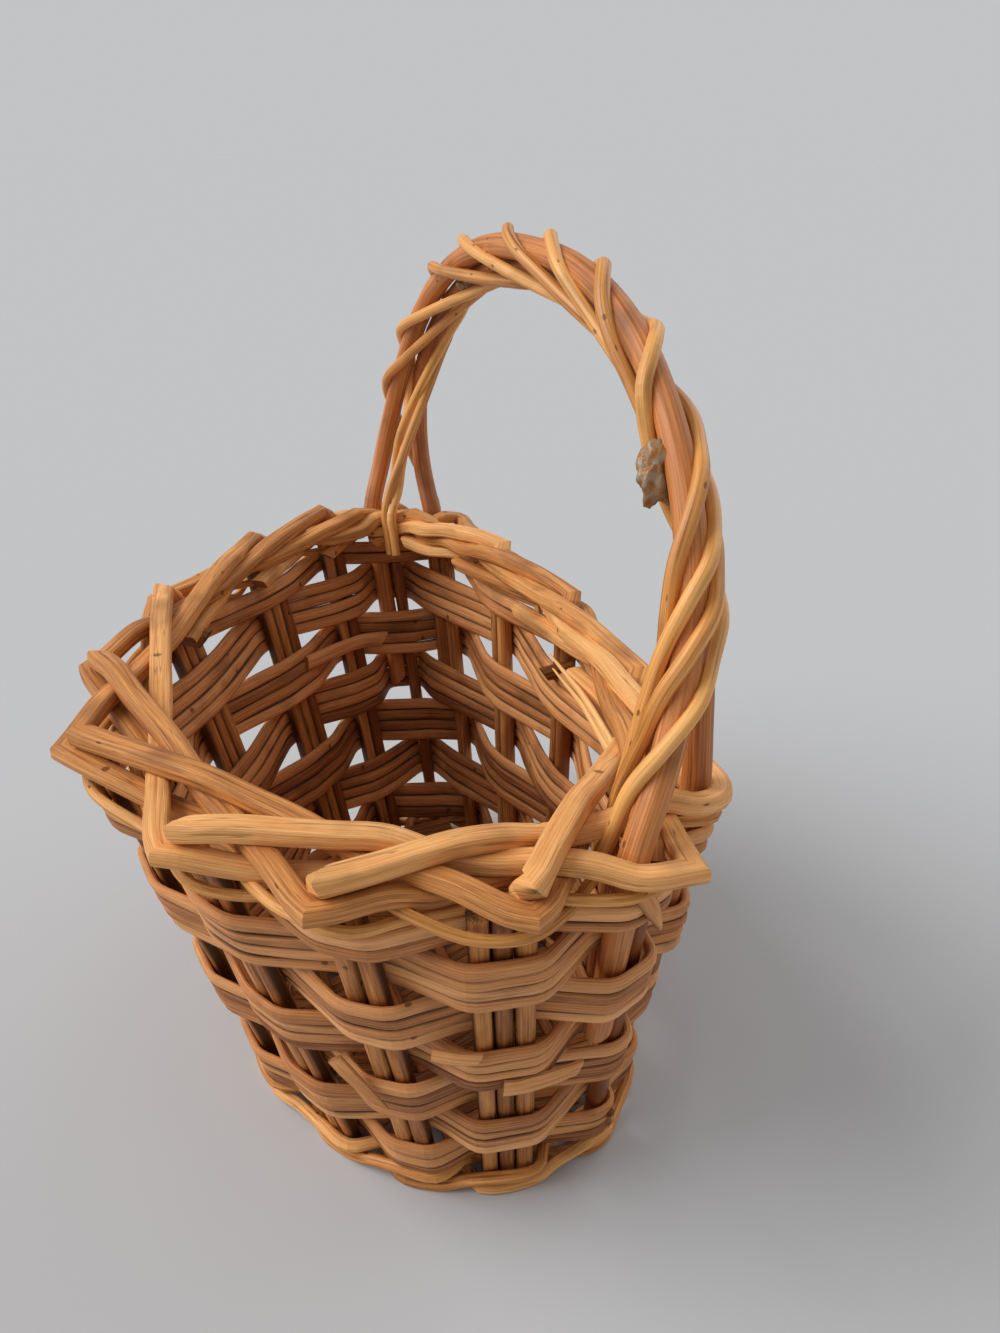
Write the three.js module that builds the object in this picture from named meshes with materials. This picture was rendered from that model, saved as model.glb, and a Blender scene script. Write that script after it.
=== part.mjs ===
// Wall pocket basket: a D-shaped basket of willow and split cane with a flat back and an arched handle.
// Millimetres, +Z up. The flat back faces +Y, the rounded front faces -Y and the width runs along X.
// Fifteen stakes stand round the wall. They are counted the way the border travels, from the
// left back corner round the front to the right back corner and then along the back.
import * as THREE from 'three';

// Shape of the wall
const RIM_WIDTH = 252; // between the corner stakes at rim level
const RIM_DEPTH = 153; // from the front stake to the back stake at rim level
const BASE_WIDTH = 177;
const BASE_DEPTH = 112.5;
const BACK_LEAN = 2; // how far the foot of the back wall stands forward of its rim
const WALL_HEIGHT = 146; // rim level above the floor

// Rods and canes
const STAKE_D = 5.2;
const BORDER_D = 5.7;
const TWINE_D = 2.8;
const FOOT_D = 3.6;
const CANE_W = 4.8; // height of one split cane in a weaver row
const CANE_T = 2.8;
const CANE_GROOVE = 0.5; // depth of the groove between two canes of a row
const GAP = 0.35; // air left between two pieces that touch
const BORDER_TENSION = 0.3; // how tight the border is drawn, from 0 to 0.5
const TWINE_TENSION = 0.1;

// Weaver rows, from the top down
const ROW_CANES = [2, 4, 4, 4, 4, 4, 3];
const TOP_ROW_DROP = 16; // from rim level to the middle of the top row
const LOW_ROW_LEVEL = 18; // middle of the lowest row above the floor
const LOW_ROW_PITCH = 17.5; // from the lowest row to the next one
const FOOT_FLAT = 0.5; // how far the foot's lowest strands are pressed flat

// Handle
const CORE_D = 7.6;
const WRAP_D = 3.7;
const ARCH_HEIGHT = 113; // from rim level to the middle of the cores at the top
const ARCH_HALF_WIDTH = 127;
const ARCH_SHIFT = -12; // middle of the arch from the middle of the basket
const ARCH_SQUARENESS = 2.35; // 2 is an ellipse, more is squarer
const ARCH_SET_BACK = 28; // arch plane in front of the back stakes at rim level
const ARCH_LEAN = 0.13; // tilt towards the wall, per unit of height
const CORE_SPREAD = 70; // height above the rim at which the two cores come together
const CORE_TWIST = 1; // turn of the pair from side by side at the left to one inside the other
const TWIST_SHARE = 0.55; // share of the arch over which the pair turns
const CORE_TUCK = 74; // length of core pushed down beside a corner stake
const WRAP_COUNT = 4;
// Where a wrap crosses the outside of the arch, as shares of its length; the wraps take turns
const WRAP_CROWNS = [0.09, 0.2, 0.26, 0.32, 0.44, 0.54, 0.65, 0.735, 0.8, 0.845, 0.88, 0.93];
const WRAP_START = 5; // height above the rim at which the wraps leave the cores
const WRAP_TUCK = 12; // length of wrap tucked in below the rim
const WRAP_INSIDE = 6.8; // from the wall to a wrap end that goes down inside

// Base
const BASE_STICKS = [0.17, 0.4, 0.62, 0.84]; // places from the back of the base to its front
const STICK_D = 4;
const BASE_BANDS = 11;
const BASE_BAND_W = 12;
const BASE_BAND_T = 2.4;
const BASE_INSET = 5.6; // from the wall line to the ends of sticks and bands
const BASE_EDGE = 6; // from the widest points of the base to the first and last band

// Stakes: place across the half width and along the depth (0 is the back), and rods beside the main one.
// A minus sign puts them behind it, the way the stakes are counted. core tells on which side of the
// main rod an end of a handle core is pushed in, and bend how far past the main rod the border folds.
const STAKES = [
  { across: -1.0, deep: 0.22, rods: 0, core: 1 },
  { across: -0.945, deep: 0.385, rods: 1 },
  { across: -0.755, deep: 0.595, rods: 2 },
  { across: -0.42, deep: 0.835, rods: 2 },
  { across: -0.07, deep: 0.965, rods: 1 },
  { across: 0.295, deep: 1.0, rods: 2 },
  { across: 0.675, deep: 0.87, rods: 1 },
  { across: 0.9, deep: 0.7, rods: 1 },
  { across: 1.01, deep: 0.49, rods: -2 },
  { across: 0.99, deep: 0.26, rods: 0, core: -1, bend: 11 },
  { across: 0.82, deep: 0.09, rods: 0, core: -1 },
  { across: 0.405, deep: 0.03, rods: 2 },
  { across: -0.03, deep: 0.0, rods: 1 },
  { across: -0.45, deep: 0.03, rods: 1 },
  { across: -0.86, deep: 0.085, rods: 0, core: 1 },
];
const COUNT = STAKES.length;
const WITH_CORE = STAKES.flatMap(({ core }, s) => (core ? [s] : []));
const [LEFT_FRONT, RIGHT_FRONT, RIGHT_WALL, LEFT_WALL] = WITH_CORE;

const COLOURS = {
  stake: [0xa9703f, 0.62],
  rods: [0x9a6338, 0.66],
  cane: [0xae7a48, 0.64],
  twine: [0xc08a50, 0.55],
  foot: [0xb9814a, 0.58],
  base: [0x96643a, 0.7],
  core: [0x9c5c33, 0.5],
  wrap: [0xc48c50, 0.52],
};

const group = new THREE.Group();

function addMesh(name, geometry, [colour, roughness]) {
  const material = new THREE.MeshStandardMaterial({ color: colour, roughness, metalness: 0 });
  const mesh = new THREE.Mesh(geometry, material);
  mesh.name = name;
  group.add(mesh);
}

const label = (n) => String(n + 1).padStart(2, '0');
const wrapIndex = (s) => ((s % COUNT) + COUNT) % COUNT;

// The wall: a straight line from base to rim at every stake

function rimXY(s) {
  const stake = STAKES[wrapIndex(s)];
  return new THREE.Vector3((stake.across * RIM_WIDTH) / 2, -stake.deep * RIM_DEPTH, WALL_HEIGHT);
}

function baseXY(s) {
  const stake = STAKES[wrapIndex(s)];
  return new THREE.Vector3((stake.across * BASE_WIDTH) / 2, -BACK_LEAN - stake.deep * BASE_DEPTH, 0);
}

function between(s, pick) {
  const low = Math.floor(s);
  return pick(low).lerp(pick(low + 1), s - low);
}

function wall(s, z) {
  const foot = between(s, baseXY);
  return foot.lerp(between(s, rimXY), z / WALL_HEIGHT);
}

function slope(s) {
  return between(s, rimXY).sub(between(s, baseXY)).normalize();
}

function outwardAt(s) {
  const run = rimXY(s + 1).sub(rimXY(s - 1));
  return new THREE.Vector3(run.y, -run.x, 0).normalize();
}

function outward(s) {
  return between(s, outwardAt).normalize();
}

// A point beside stake s: side runs along the wall the way the stakes are counted, out points outward
function beside(s, z, side, out) {
  const away = outward(s);
  const along = new THREE.Vector3(-away.y, away.x, 0);
  return wall(s, z).addScaledVector(along, side).addScaledVector(away, out);
}

// Rods of one stake group, side by side

const ROD_STEP = STAKE_D + GAP;
const CORE_END = WALL_HEIGHT - CORE_TUCK;

function mainSide(s) {
  const { rods, core } = STAKES[s];
  return core ? (-core * (CORE_D + GAP)) / 2 : (-rods / 2) * ROD_STEP;
}

function coreSide(s) {
  return (STAKES[s].core * ROD_STEP) / 2;
}

// Half thickness of the group at height z, and how far it reaches along the wall
function reach(s, z) {
  const { rods, core } = STAKES[s];
  const main = mainSide(s);
  let low = main + Math.min(0, rods) * ROD_STEP - STAKE_D / 2;
  let high = main + Math.max(0, rods) * ROD_STEP + STAKE_D / 2;
  let half = STAKE_D / 2;
  if (core && z > CORE_END) {
    low = Math.min(low, coreSide(s) - CORE_D / 2);
    high = Math.max(high, coreSide(s) + CORE_D / 2);
    half = CORE_D / 2;
  }
  return { low, high, half };
}

// Sweeps

// Triangles that fill a flat ring of points, as counts round the ring
function capFaces(ring) {
  const normal = new THREE.Vector3();
  ring.forEach((p, k) => normal.add(p.clone().cross(ring[(k + 1) % ring.length])));
  normal.normalize();
  const u = ring[1].clone().sub(ring[0]).normalize();
  const v = normal.clone().cross(u);
  const flat = ring.map((p) => new THREE.Vector2(p.dot(u), p.dot(v)));
  return THREE.ShapeUtils.triangulateShape(flat, []);
}

// A body swept through rings of points, all with as many points, in the same turning sense
function closedBody(rings, loop) {
  const sides = rings[0].length;
  const positions = rings.flat().flatMap((p) => [p.x, p.y, p.z]);
  const index = [];
  const last = loop ? rings.length : rings.length - 1;
  for (let i = 0; i < last; i += 1) {
    const here = i * sides;
    const next = ((i + 1) % rings.length) * sides;
    for (let k = 0; k < sides; k += 1) {
      const m = (k + 1) % sides;
      index.push(here + k, next + m, here + m, here + k, next + k, next + m);
    }
  }
  if (!loop) {
    const end = (rings.length - 1) * sides;
    for (const [a, b, c] of capFaces(rings[0])) index.push(a, b, c);
    for (const [a, b, c] of capFaces(rings.at(-1))) index.push(end + a, end + c, end + b);
  }
  const geometry = new THREE.BufferGeometry();
  geometry.setAttribute('position', new THREE.Float32BufferAttribute(positions, 3));
  geometry.setIndex(index);
  return geometry;
}

const SHARPEST = 0.7; // a section is widened at a bend by 1 / this at the most

function headings(points, loop) {
  const count = points.length;
  return points.map((p, i) => {
    const before = loop || i > 0 ? p.clone().sub(points[(i - 1 + count) % count]).normalize() : null;
    const after = loop || i < count - 1 ? points[(i + 1) % count].clone().sub(p).normalize() : null;
    const heading = (before ?? after).clone().add(after ?? before).normalize();
    const widen = before && after ? 1 / Math.max(SHARPEST, heading.dot(after)) : 1;
    return { heading, widen };
  });
}

// A flat band: section points are [outward, up], and up follows the slope of the wall
function band(points, ups, section) {
  const turns = headings(points, false);
  const rings = points.map((p, i) => {
    const across = turns[i].heading.clone().cross(ups[i]).normalize();
    return section.map(([a, b]) =>
      p.clone().addScaledVector(across, a * turns[i].widen).addScaledVector(ups[i], b));
  });
  return closedBody(rings, false);
}

// A rod with a round section of its own radius at each point. It is pressed flat where it would go
// below the floor, and cut level where it starts on the floor.
function rod(points, radii, sides, loop = false) {
  const turns = headings(points, loop);
  const lying = Math.abs(turns[0].heading.z) < 0.9;
  const first = lying ? new THREE.Vector3(0, 0, 1) : new THREE.Vector3(0, 1, 0);
  let up = first;
  const rings = points.map((p, i) => {
    const { heading } = turns[i];
    if (loop) up = first;
    up = up.clone().addScaledVector(heading, -up.dot(heading)).normalize();
    const across = heading.clone().cross(up);
    return Array.from({ length: sides }, (_, k) => {
      const angle = (k / sides) * 2 * Math.PI;
      const at = p.clone().addScaledVector(across, Math.cos(angle) * radii[i]);
      at.addScaledVector(up, Math.sin(angle) * radii[i]);
      at.z = p.z > 0 ? Math.max(at.z, 0) : 0;
      return at;
    });
  });
  return closedBody(rings, loop);
}

// Outline of canes stacked in one band, ridged on the outer face
function caneSection(canes) {
  const half = (canes * CANE_W) / 2;
  const face = CANE_T / 2;
  const section = [];
  for (let k = 0; k <= 2 * canes; k += 1) {
    section.push([k % 2 ? face : face - CANE_GROOVE, -half + (k * CANE_W) / 2]);
  }
  section.push([-face, half], [-face, -half]);
  return section;
}

// Weaver rows. Each is one turn of the wall, with both ends between the two right back corner stakes.

const FIRST_STAKE = RIGHT_WALL;
const END_REST = 0.06; // share of the corner span between the middle and an end
const EDGE = 0.8; // a weaver leaves the wall line this far past the edge of a stake group

// The top row sits close on the second; the rest are evenly spaced down to the last but one
const rowHalf = (row) => (ROW_CANES[row] * CANE_W) / 2;

function rowLevel(row) {
  const top = WALL_HEIGHT - TOP_ROW_DROP;
  const last = ROW_CANES.length - 1;
  if (row === 0) return top;
  if (row === last) return LOW_ROW_LEVEL;
  const second = top - rowHalf(0) - rowHalf(1) - GAP;
  const share = (row - 1) / (last - 2);
  return second + (LOW_ROW_LEVEL + LOW_ROW_PITCH - second) * share;
}

function weaverRoute(z, halfThick, startsOutside, topZ = z) {
  const middle = FIRST_STAKE - 0.5;
  const points = [];
  const ups = [];
  const push = (s, side, out) => {
    points.push(beside(s, z, side, out));
    ups.push(slope(s));
  };
  const outFor = (s, outside) => (reach(s, topZ).half + halfThick + GAP) * (outside ? 1 : -1);
  const end = startsOutside ? 0 : outFor(FIRST_STAKE, false);
  push(middle + END_REST, 0, end);
  for (let k = 0; k < COUNT; k += 1) {
    const s = (FIRST_STAKE + k) % COUNT;
    const { low, high } = reach(s, topZ);
    const out = outFor(s, (k % 2 === 0) === startsOutside);
    push(s, low - EDGE, out);
    push(s, high + EDGE, out);
  }
  push(middle - END_REST, 0, end);
  return { points, ups };
}

const rowRoutes = ROW_CANES.map((canes, row) => {
  const z = rowLevel(row);
  return weaverRoute(z, CANE_T / 2, row % 2 === 0, z + rowHalf(row));
});
ROW_CANES.forEach((canes, row) => {
  const { points, ups } = rowRoutes[row];
  addMesh(`weaver_row_${row + 1}`, band(points, ups, caneSection(canes)), COLOURS.cane);
});

// Rim twine: two thin rods that swap sides between stakes, the one on its way out passing above

const TWINE_SWAP = TWINE_D / 2 + GAP; // rise or fall of a twined rod where the two cross
const TWINE_CROSS = 0.35; // where they cross, as a share of the way between two stakes
const TWINE_LEVEL = rowLevel(0) + rowHalf(0) + GAP + TWINE_D / 2 + TWINE_SWAP;

function twineCrossing(s) {
  const next = wrapIndex(s + 1);
  const from = beside(s, TWINE_LEVEL, reach(s, TWINE_LEVEL).high + EDGE, 0);
  const to = beside(next, TWINE_LEVEL, reach(next, TWINE_LEVEL).low - EDGE, 0);
  return from.lerp(to, TWINE_CROSS);
}

const twineStrands = [true, false].map((startsOutside) => {
  const { points } = weaverRoute(TWINE_LEVEL, TWINE_D / 2, startsOutside);
  const route = [points[0]];
  const held = [true];
  for (let k = 0; k < COUNT; k += 1) {
    const s = (FIRST_STAKE + k) % COUNT;
    const firm = Boolean(STAKES[s].core);
    route.push(points[2 * k + 1], points[2 * k + 2]);
    held.push(firm, firm);
    if (k < COUNT - 1) {
      const goingOut = (k % 2 === 0) !== startsOutside;
      const cross = twineCrossing(s);
      cross.z += TWINE_SWAP * (goingOut ? 1 : -1);
      route.push(cross);
      held.push(false);
    }
  }
  route.push(points.at(-1));
  held.push(true);
  const step = startsOutside ? TWINE_SWAP : -TWINE_SWAP;
  route[0].z += step;
  route.at(-1).z += step;
  return { points: route, radii: route.map(() => TWINE_D / 2), held, tension: TWINE_TENSION };
});

// Foot: three strands, each outside two stakes and inside the third, climbing as they pass

const FOOT_LOW = FOOT_D / 2 - FOOT_FLAT;
const FOOT_HIGH = FOOT_LOW + FOOT_D + GAP;
const FOOT_MID = (FOOT_LOW + FOOT_HIGH) / 2;

const footStrands = [0, 1, 2].map((strand) => {
  const route = [];
  for (let s = 0; s < COUNT; s += 1) {
    const { low, high, half } = reach(s, FOOT_MID);
    const stage = (s - strand + 3) % 3;
    const out = (half + FOOT_D / 2 + GAP) * (stage ? 1 : -1);
    const z = [FOOT_MID, FOOT_LOW, FOOT_HIGH][stage];
    route.push(beside(s, z, low - EDGE, out), beside(s, z, high + EDGE, out));
    const gapMiddle = s + 0.5;
    if (stage === 0) route.push(beside(gapMiddle, FOOT_LOW, 0, 0));
    if (stage === 1) route.push(beside(gapMiddle, FOOT_MID, 0, out + FOOT_D / 3));
    if (stage === 2) route.push(beside(gapMiddle, FOOT_HIGH + GAP, 0, 0));
  }
  route.push(route[0].clone());
  return { points: route, radii: route.map(() => FOOT_D / 2), held: route.map(() => false) };
});

// Side rods: cut off under the border, two of them fused side by side

const SIDE_ROD_TOP = TWINE_LEVEL + TWINE_D / 2;

function sideRodsMiddle(s) {
  const { rods } = STAKES[s];
  return mainSide(s) + Math.sign(rods) * (ROD_STEP + ((Math.abs(rods) - 1) / 2) * STAKE_D);
}

for (let s = 0; s < COUNT; s += 1) {
  const rods = Math.abs(STAKES[s].rods);
  if (!rods) continue;
  const r = STAKE_D / 2;
  const middle = sideRodsMiddle(s);
  const half = ((rods - 1) / 2) * STAKE_D;
  const c = r * Math.SQRT1_2;
  const two = [[-c, half + c], [0, half + r], [c, half + c], [r, half], [c, 0], [r, -half],
    [c, -half - c], [0, -half - r], [-c, -half - c], [-r, -half], [-c, 0], [-r, half]];
  const one = [[-r, 0], [-c, c], [0, r], [c, c], [r, 0], [c, -c], [0, -r], [-c, -c]];
  const section = rods > 1 ? two : one;
  const rings = [0, SIDE_ROD_TOP].map((z) => {
    const away = outward(s);
    const along = new THREE.Vector3(-away.y, away.x, 0);
    return section.map(([a, b]) =>
      wall(s, z).addScaledVector(along, middle + b).addScaledVector(away, a));
  });
  addMesh(`side_rods_${label(s)}`, closedBody(rings, false), COLOURS.rods);
}

// Handle cores: an arch whose two rods part near the rim and go down beside the corner stakes

const ARCH_PLANE = -ARCH_SET_BACK;

function archPoint(share) {
  const angle = Math.PI * (1 - share);
  const power = 2 / ARCH_SQUARENESS;
  const x = Math.sign(Math.cos(angle)) * Math.abs(Math.cos(angle)) ** power;
  const height = ARCH_HEIGHT * Math.abs(Math.sin(angle)) ** power;
  return new THREE.Vector3(
    ARCH_SHIFT + x * ARCH_HALF_WIDTH,
    ARCH_PLANE + ARCH_LEAN * height,
    WALL_HEIGHT + height);
}

const CORES = [
  { name: 'handle_core_front', left: LEFT_FRONT, right: RIGHT_FRONT, side: 0 },
  { name: 'handle_core_wall', left: LEFT_WALL, right: RIGHT_WALL, side: 1 },
];
const ARCH_STEPS = 26;

const ARCH_NEAR = 0.01; // share of the arch over which its direction is taken

function archAhead(share) {
  return archPoint(Math.min(1, share + ARCH_NEAR)).sub(archPoint(Math.max(0, share - ARCH_NEAR)));
}

// Away from the middle of the arch, square to its run
function archOut(share) {
  const ahead = archAhead(share);
  return new THREE.Vector3(-ahead.z, 0, ahead.x).normalize();
}

function corePoint(core, share) {
  const point = archPoint(share);
  const s = share < 0.5 ? core.left : core.right;
  const near = Math.max(0, 1 - (point.z - WALL_HEIGHT) / CORE_SPREAD) ** 2;
  const pull = beside(s, WALL_HEIGHT, coreSide(s), 0).sub(archPoint(share < 0.5 ? 0 : 1));
  const twist = CORE_TWIST * Math.min(1, share / TWIST_SHARE);
  const apart = new THREE.Vector3(0, Math.cos(twist), 0);
  apart.addScaledVector(archOut(share), -Math.sin(twist));
  point.addScaledVector(apart, (1 - near) * core.side * (CORE_D + GAP));
  return point.addScaledVector(pull, near);
}

const coreRoutes = CORES.map((core) => {
  const leg = (s) => [0, 0.5, 0.9].map((t) =>
    beside(s, CORE_END + t * CORE_TUCK, coreSide(s), 0));
  const arch = Array.from({ length: ARCH_STEPS + 1 }, (_, k) => corePoint(core, k / ARCH_STEPS));
  return [...leg(core.left), ...arch, ...leg(core.right).reverse()];
});

// Easing: strands laid by rule are drawn tight and pushed apart until each clears its neighbours

function nearest(a, b, c, d) {
  const u = b.clone().sub(a);
  const v = d.clone().sub(c);
  const w = a.clone().sub(c);
  const uu = u.dot(u);
  const uv = u.dot(v);
  const vv = v.dot(v);
  const uw = u.dot(w);
  const vw = v.dot(w);
  const clamp = (t) => Math.min(1, Math.max(0, t));
  const flat = uu * vv - uv * uv;
  let s = flat > 1e-9 ? clamp((uv * vw - vv * uw) / flat) : 0.5;
  const t = clamp((uv * s + vw) / vv);
  s = clamp((uv * t - uw) / uu);
  return { s, t, apart: w.addScaledVector(u, s).addScaledVector(v, -t) };
}

const EASE_ROUNDS = 320;
const EASE_GAP = GAP + 0.1; // a little more than the gap, as the rounds only come close to it
const EASE_REACH = 26; // pairs of pieces that start further apart than this never meet
const EASE_LAST = 100; // rounds at the end that only push apart

// A strand is { points, radii, held, tension }: held points don't move, and tension draws it straight
function easeApart(strands) {
  const pieces = strands.flatMap((strand, n) =>
    strand.points.slice(1).map((_, i) => ({ strand, n, i })));
  const pairs = [];
  for (let a = 0; a < pieces.length; a += 1) {
    for (let b = a + 1; b < pieces.length; b += 1) {
      const [p, q] = [pieces[a], pieces[b]];
      const still = (x) => x.strand.held[x.i] && x.strand.held[x.i + 1];
      if (p.n === q.n || (still(p) && still(q))) continue;
      const far = p.strand.points[p.i].distanceTo(q.strand.points[q.i]);
      if (far < EASE_REACH) pairs.push([p, q]);
    }
  }
  for (let round = 0; round < EASE_ROUNDS; round += 1) {
    const moves = strands.map(({ points }) =>
      points.map(() => ({ by: new THREE.Vector3(), weight: 0 })));
    for (const [p, q] of pairs) {
      const [a, b] = [p.strand.points[p.i], p.strand.points[p.i + 1]];
      const [c, d] = [q.strand.points[q.i], q.strand.points[q.i + 1]];
      const { s, t, apart } = nearest(a, b, c, d);
      const need = Math.max(p.strand.radii[p.i], p.strand.radii[p.i + 1])
        + Math.max(q.strand.radii[q.i], q.strand.radii[q.i + 1]) + EASE_GAP;
      const now = apart.length();
      if (now >= need) continue;
      const free = (x, k) => (x.strand.held[x.i + k] ? 0 : 1);
      const ends = [[p, 0, 1 - s, 1], [p, 1, s, 1], [q, 0, 1 - t, -1], [q, 1, t, -1]];
      const give = ends.reduce((sum, [x, k, share]) => sum + free(x, k) * share * share, 0);
      if (give < 1e-6) continue;
      const push = apart.multiplyScalar((need - now) / Math.max(now, 1e-6) / Math.max(give, 0.25));
      for (const [x, k, share, sign] of ends) {
        const move = moves[x.n][x.i + k];
        move.by.addScaledVector(push, free(x, k) * share * sign);
        move.weight += share;
      }
    }
    strands.forEach(({ points, held, tension = 0 }, n) => {
      const pull = round < EASE_ROUNDS - EASE_LAST ? tension : 0;
      const before = points.map((p) => p.clone());
      points.forEach((p, i) => {
        if (held[i]) return;
        const { by, weight } = moves[n][i];
        p.addScaledVector(by, 0.6 / Math.max(1, weight));
        if (i > 0 && i < points.length - 1) {
          const middle = before[i - 1].clone().add(before[i + 1]).multiplyScalar(0.5);
          p.addScaledVector(middle.sub(before[i]), pull);
        }
      });
    });
  }
}

const heldStrand = (points, radius) => ({
  points,
  radii: points.map(() => radius),
  held: points.map(() => true),
});

// Border: every main rod folds over and travels inside two stakes, outside the third, inside the fourth.
// Each step of the route is [stakes on, which side of the wall, height in border thicknesses].

const FOLD_DROP = 20; // below this the main rod is straight
const INSIDE = -1;
const OUTSIDE = 1;
const BORDER_ROUTE = [
  [0, 0, 0.1],
  [0.05, 0.3, 0.55],
  [0.35, -0.1, 0.9],
  [0.7, -0.8, 0.8],
  [1, INSIDE, 0.65],
  [1.33, INSIDE, 0.4],
  [1.66, INSIDE, 0.15],
  [2, INSIDE, -0.05],
  [2.3, -0.6, -0.1],
  [2.65, 0.3, -0.2],
  [2.9, OUTSIDE, -0.28],
  [3, 1.27, -0.32],
  [3.1, OUTSIDE, -0.34],
  [3.4, 0.3, -0.5],
  [3.7, -0.8, -0.8],
  [4, -1.6, -1],
  [4.3, -1.7, -1.1],
];

const BEND_AT = 3; // stakes from a rod to its fold outside the border
const START_POINTS = 2; // points of a fold's start that keep their places
const bendSide = (s) => mainSide(s) + (STAKES[s].bend ?? 0);

const borderStrands = STAKES.map((_, start) => {
  const side = mainSide(start);
  const bendStake = wrapIndex(start + BEND_AT);
  const upright = [0, 0.5, 1].map((t) =>
    beside(start, t * (WALL_HEIGHT - FOLD_DROP), side, 0));
  const bend = [0.4, 0.75].map((t) =>
    beside(start, WALL_HEIGHT - FOLD_DROP * (1 - t), side, 0));
  const fold = BORDER_ROUTE.map(([on, out, rise]) => {
    const s = start + on;
    const thick = reach(wrapIndex(Math.round(s)), WALL_HEIGHT).half;
    const away = out * (thick + BORDER_D / 2 + GAP);
    const nearBend = Math.max(0, 1 - Math.abs(on - BEND_AT));
    const along = side * Math.max(0, 1 - on) + bendSide(bendStake) * nearBend;
    return beside(s, WALL_HEIGHT + rise * BORDER_D, along, away);
  });
  const points = [...upright, ...bend, ...fold];
  const first = upright.length + bend.length;
  const folded = first + BORDER_ROUTE.findIndex(([on]) => on === BEND_AT);
  // The start and the fold keep their places, except that a handle core beside them may push them
  const firm = STAKES[start].core ? first : first + START_POINTS;
  const around = STAKES[bendStake].core ? 0 : 1;
  const held = points.map((_, i) => i < firm || Math.abs(i - folded) <= around);
  const radii = points.map((_, i) => (i < first ? STAKE_D : BORDER_D) / 2);
  return { points, radii, held, tension: BORDER_TENSION };
});

// Wraps: thin rods wound round both cores, their ends led down inside, in front of or behind the rim

const WRAP_STEP = 10; // length of the arch between two points of a wrap
const WRAP_SQUARENESS = 3; // 0 winds round the cores in an ellipse, more lies closer to their sides
// Where the ends of the wraps go down, counted in stakes
const LEFT_ENDS = [14.7, 14.85, 15, 15.15];
const RIGHT_ENDS = [9.34, 9.2, 9.06, 8.9];

// Points spaced evenly along the arch, as shares of the arch's parameter
function evenShares() {
  const fine = 400;
  const lengths = [0];
  for (let k = 1; k <= fine; k += 1) {
    lengths.push(lengths[k - 1] + archPoint(k / fine).distanceTo(archPoint((k - 1) / fine)));
  }
  const steps = Math.round(lengths[fine] / WRAP_STEP);
  return Array.from({ length: steps + 1 }, (_, n) => {
    const target = (n / steps) * lengths[fine];
    const k = Math.max(1, lengths.findIndex((l) => l >= target));
    const part = (target - lengths[k - 1]) / (lengths[k] - lengths[k - 1]);
    return { share: (k - 1 + part) / fine, along: n / steps };
  });
}

// How many crowns the wraps have passed at a place along the arch
function crownsPassed(along) {
  const last = WRAP_CROWNS.length - 2;
  const k = Math.min(last, Math.max(0, WRAP_CROWNS.findIndex((c) => c > along) - 1));
  const from = along > WRAP_CROWNS.at(-1) ? last : k;
  return from + (along - WRAP_CROWNS[from]) / (WRAP_CROWNS[from + 1] - WRAP_CROWNS[from]);
}

function wrapEnd(s) {
  return [-WRAP_TUCK / 3, -WRAP_TUCK].map((height) =>
    beside(s, WALL_HEIGHT + height, 0, -WRAP_INSIDE));
}

const wrapStrands = Array.from({ length: WRAP_COUNT }, (_, n) => {
  const wound = [];
  for (const { share, along } of evenShares()) {
    const front = corePoint(CORES[0], share);
    const back = corePoint(CORES[1], share);
    if (front.z < WALL_HEIGHT + WRAP_START) continue;
    const across = back.clone().sub(front).normalize();
    const square = archAhead(share).cross(across).normalize();
    // The pair of cores is turned by the twist, so crowns are counted from the outside of the arch
    const tilt = Math.atan2(archOut(share).dot(across), archOut(share).dot(square));
    const angle = (2 * Math.PI * (n - crownsPassed(along))) / WRAP_COUNT + tilt;
    const round = (CORE_D + WRAP_D) / 2 + GAP;
    const half = Math.max(0, CORE_D + GAP - front.distanceTo(back) / 2);
    const lean = Math.tanh(WRAP_SQUARENESS * Math.sin(angle)) / Math.tanh(WRAP_SQUARENESS);
    const centre = front.addScaledVector(across, half);
    centre.addScaledVector(square, round * Math.cos(angle));
    centre.addScaledVector(across, half * lean + round * Math.sin(angle));
    wound.push(centre);
  }
  const points = [...wrapEnd(LEFT_ENDS[n]).reverse(), ...wound, ...wrapEnd(RIGHT_ENDS[n])];
  return { points, radii: points.map(() => WRAP_D / 2), held: points.map(() => false) };
});

const rodTops = STAKES.flatMap(({ rods }, s) => Array.from({ length: Math.abs(rods) }, (_, k) => {
  const side = mainSide(s) + Math.sign(rods) * (ROD_STEP + k * STAKE_D);
  return [SIDE_ROD_TOP - 2 * STAKE_D, SIDE_ROD_TOP].map((z) => beside(s, z, side, 0));
}));

const topCanes = [-1, 1].map((side) => rowRoutes[0].points.map((p) =>
  p.clone().add(new THREE.Vector3(0, 0, (side * CANE_W) / 2))));

const still = [
  ...topCanes.map((route) => heldStrand(route, CANE_W / 2)),
  ...coreRoutes.map((route) => heldStrand(route, CORE_D / 2)),
  ...rodTops.map((route) => heldStrand(route, STAKE_D / 2)),
];
easeApart([...borderStrands, ...wrapStrands, ...twineStrands, ...still]);
twineStrands.forEach(({ points, radii }, k) => {
  addMesh(`rim_twine_${'ab'[k]}`, rod(points, radii, 5), COLOURS.twine);
});

// Base: sticks laid across with bands of split cane woven over and under them from back to front

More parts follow.
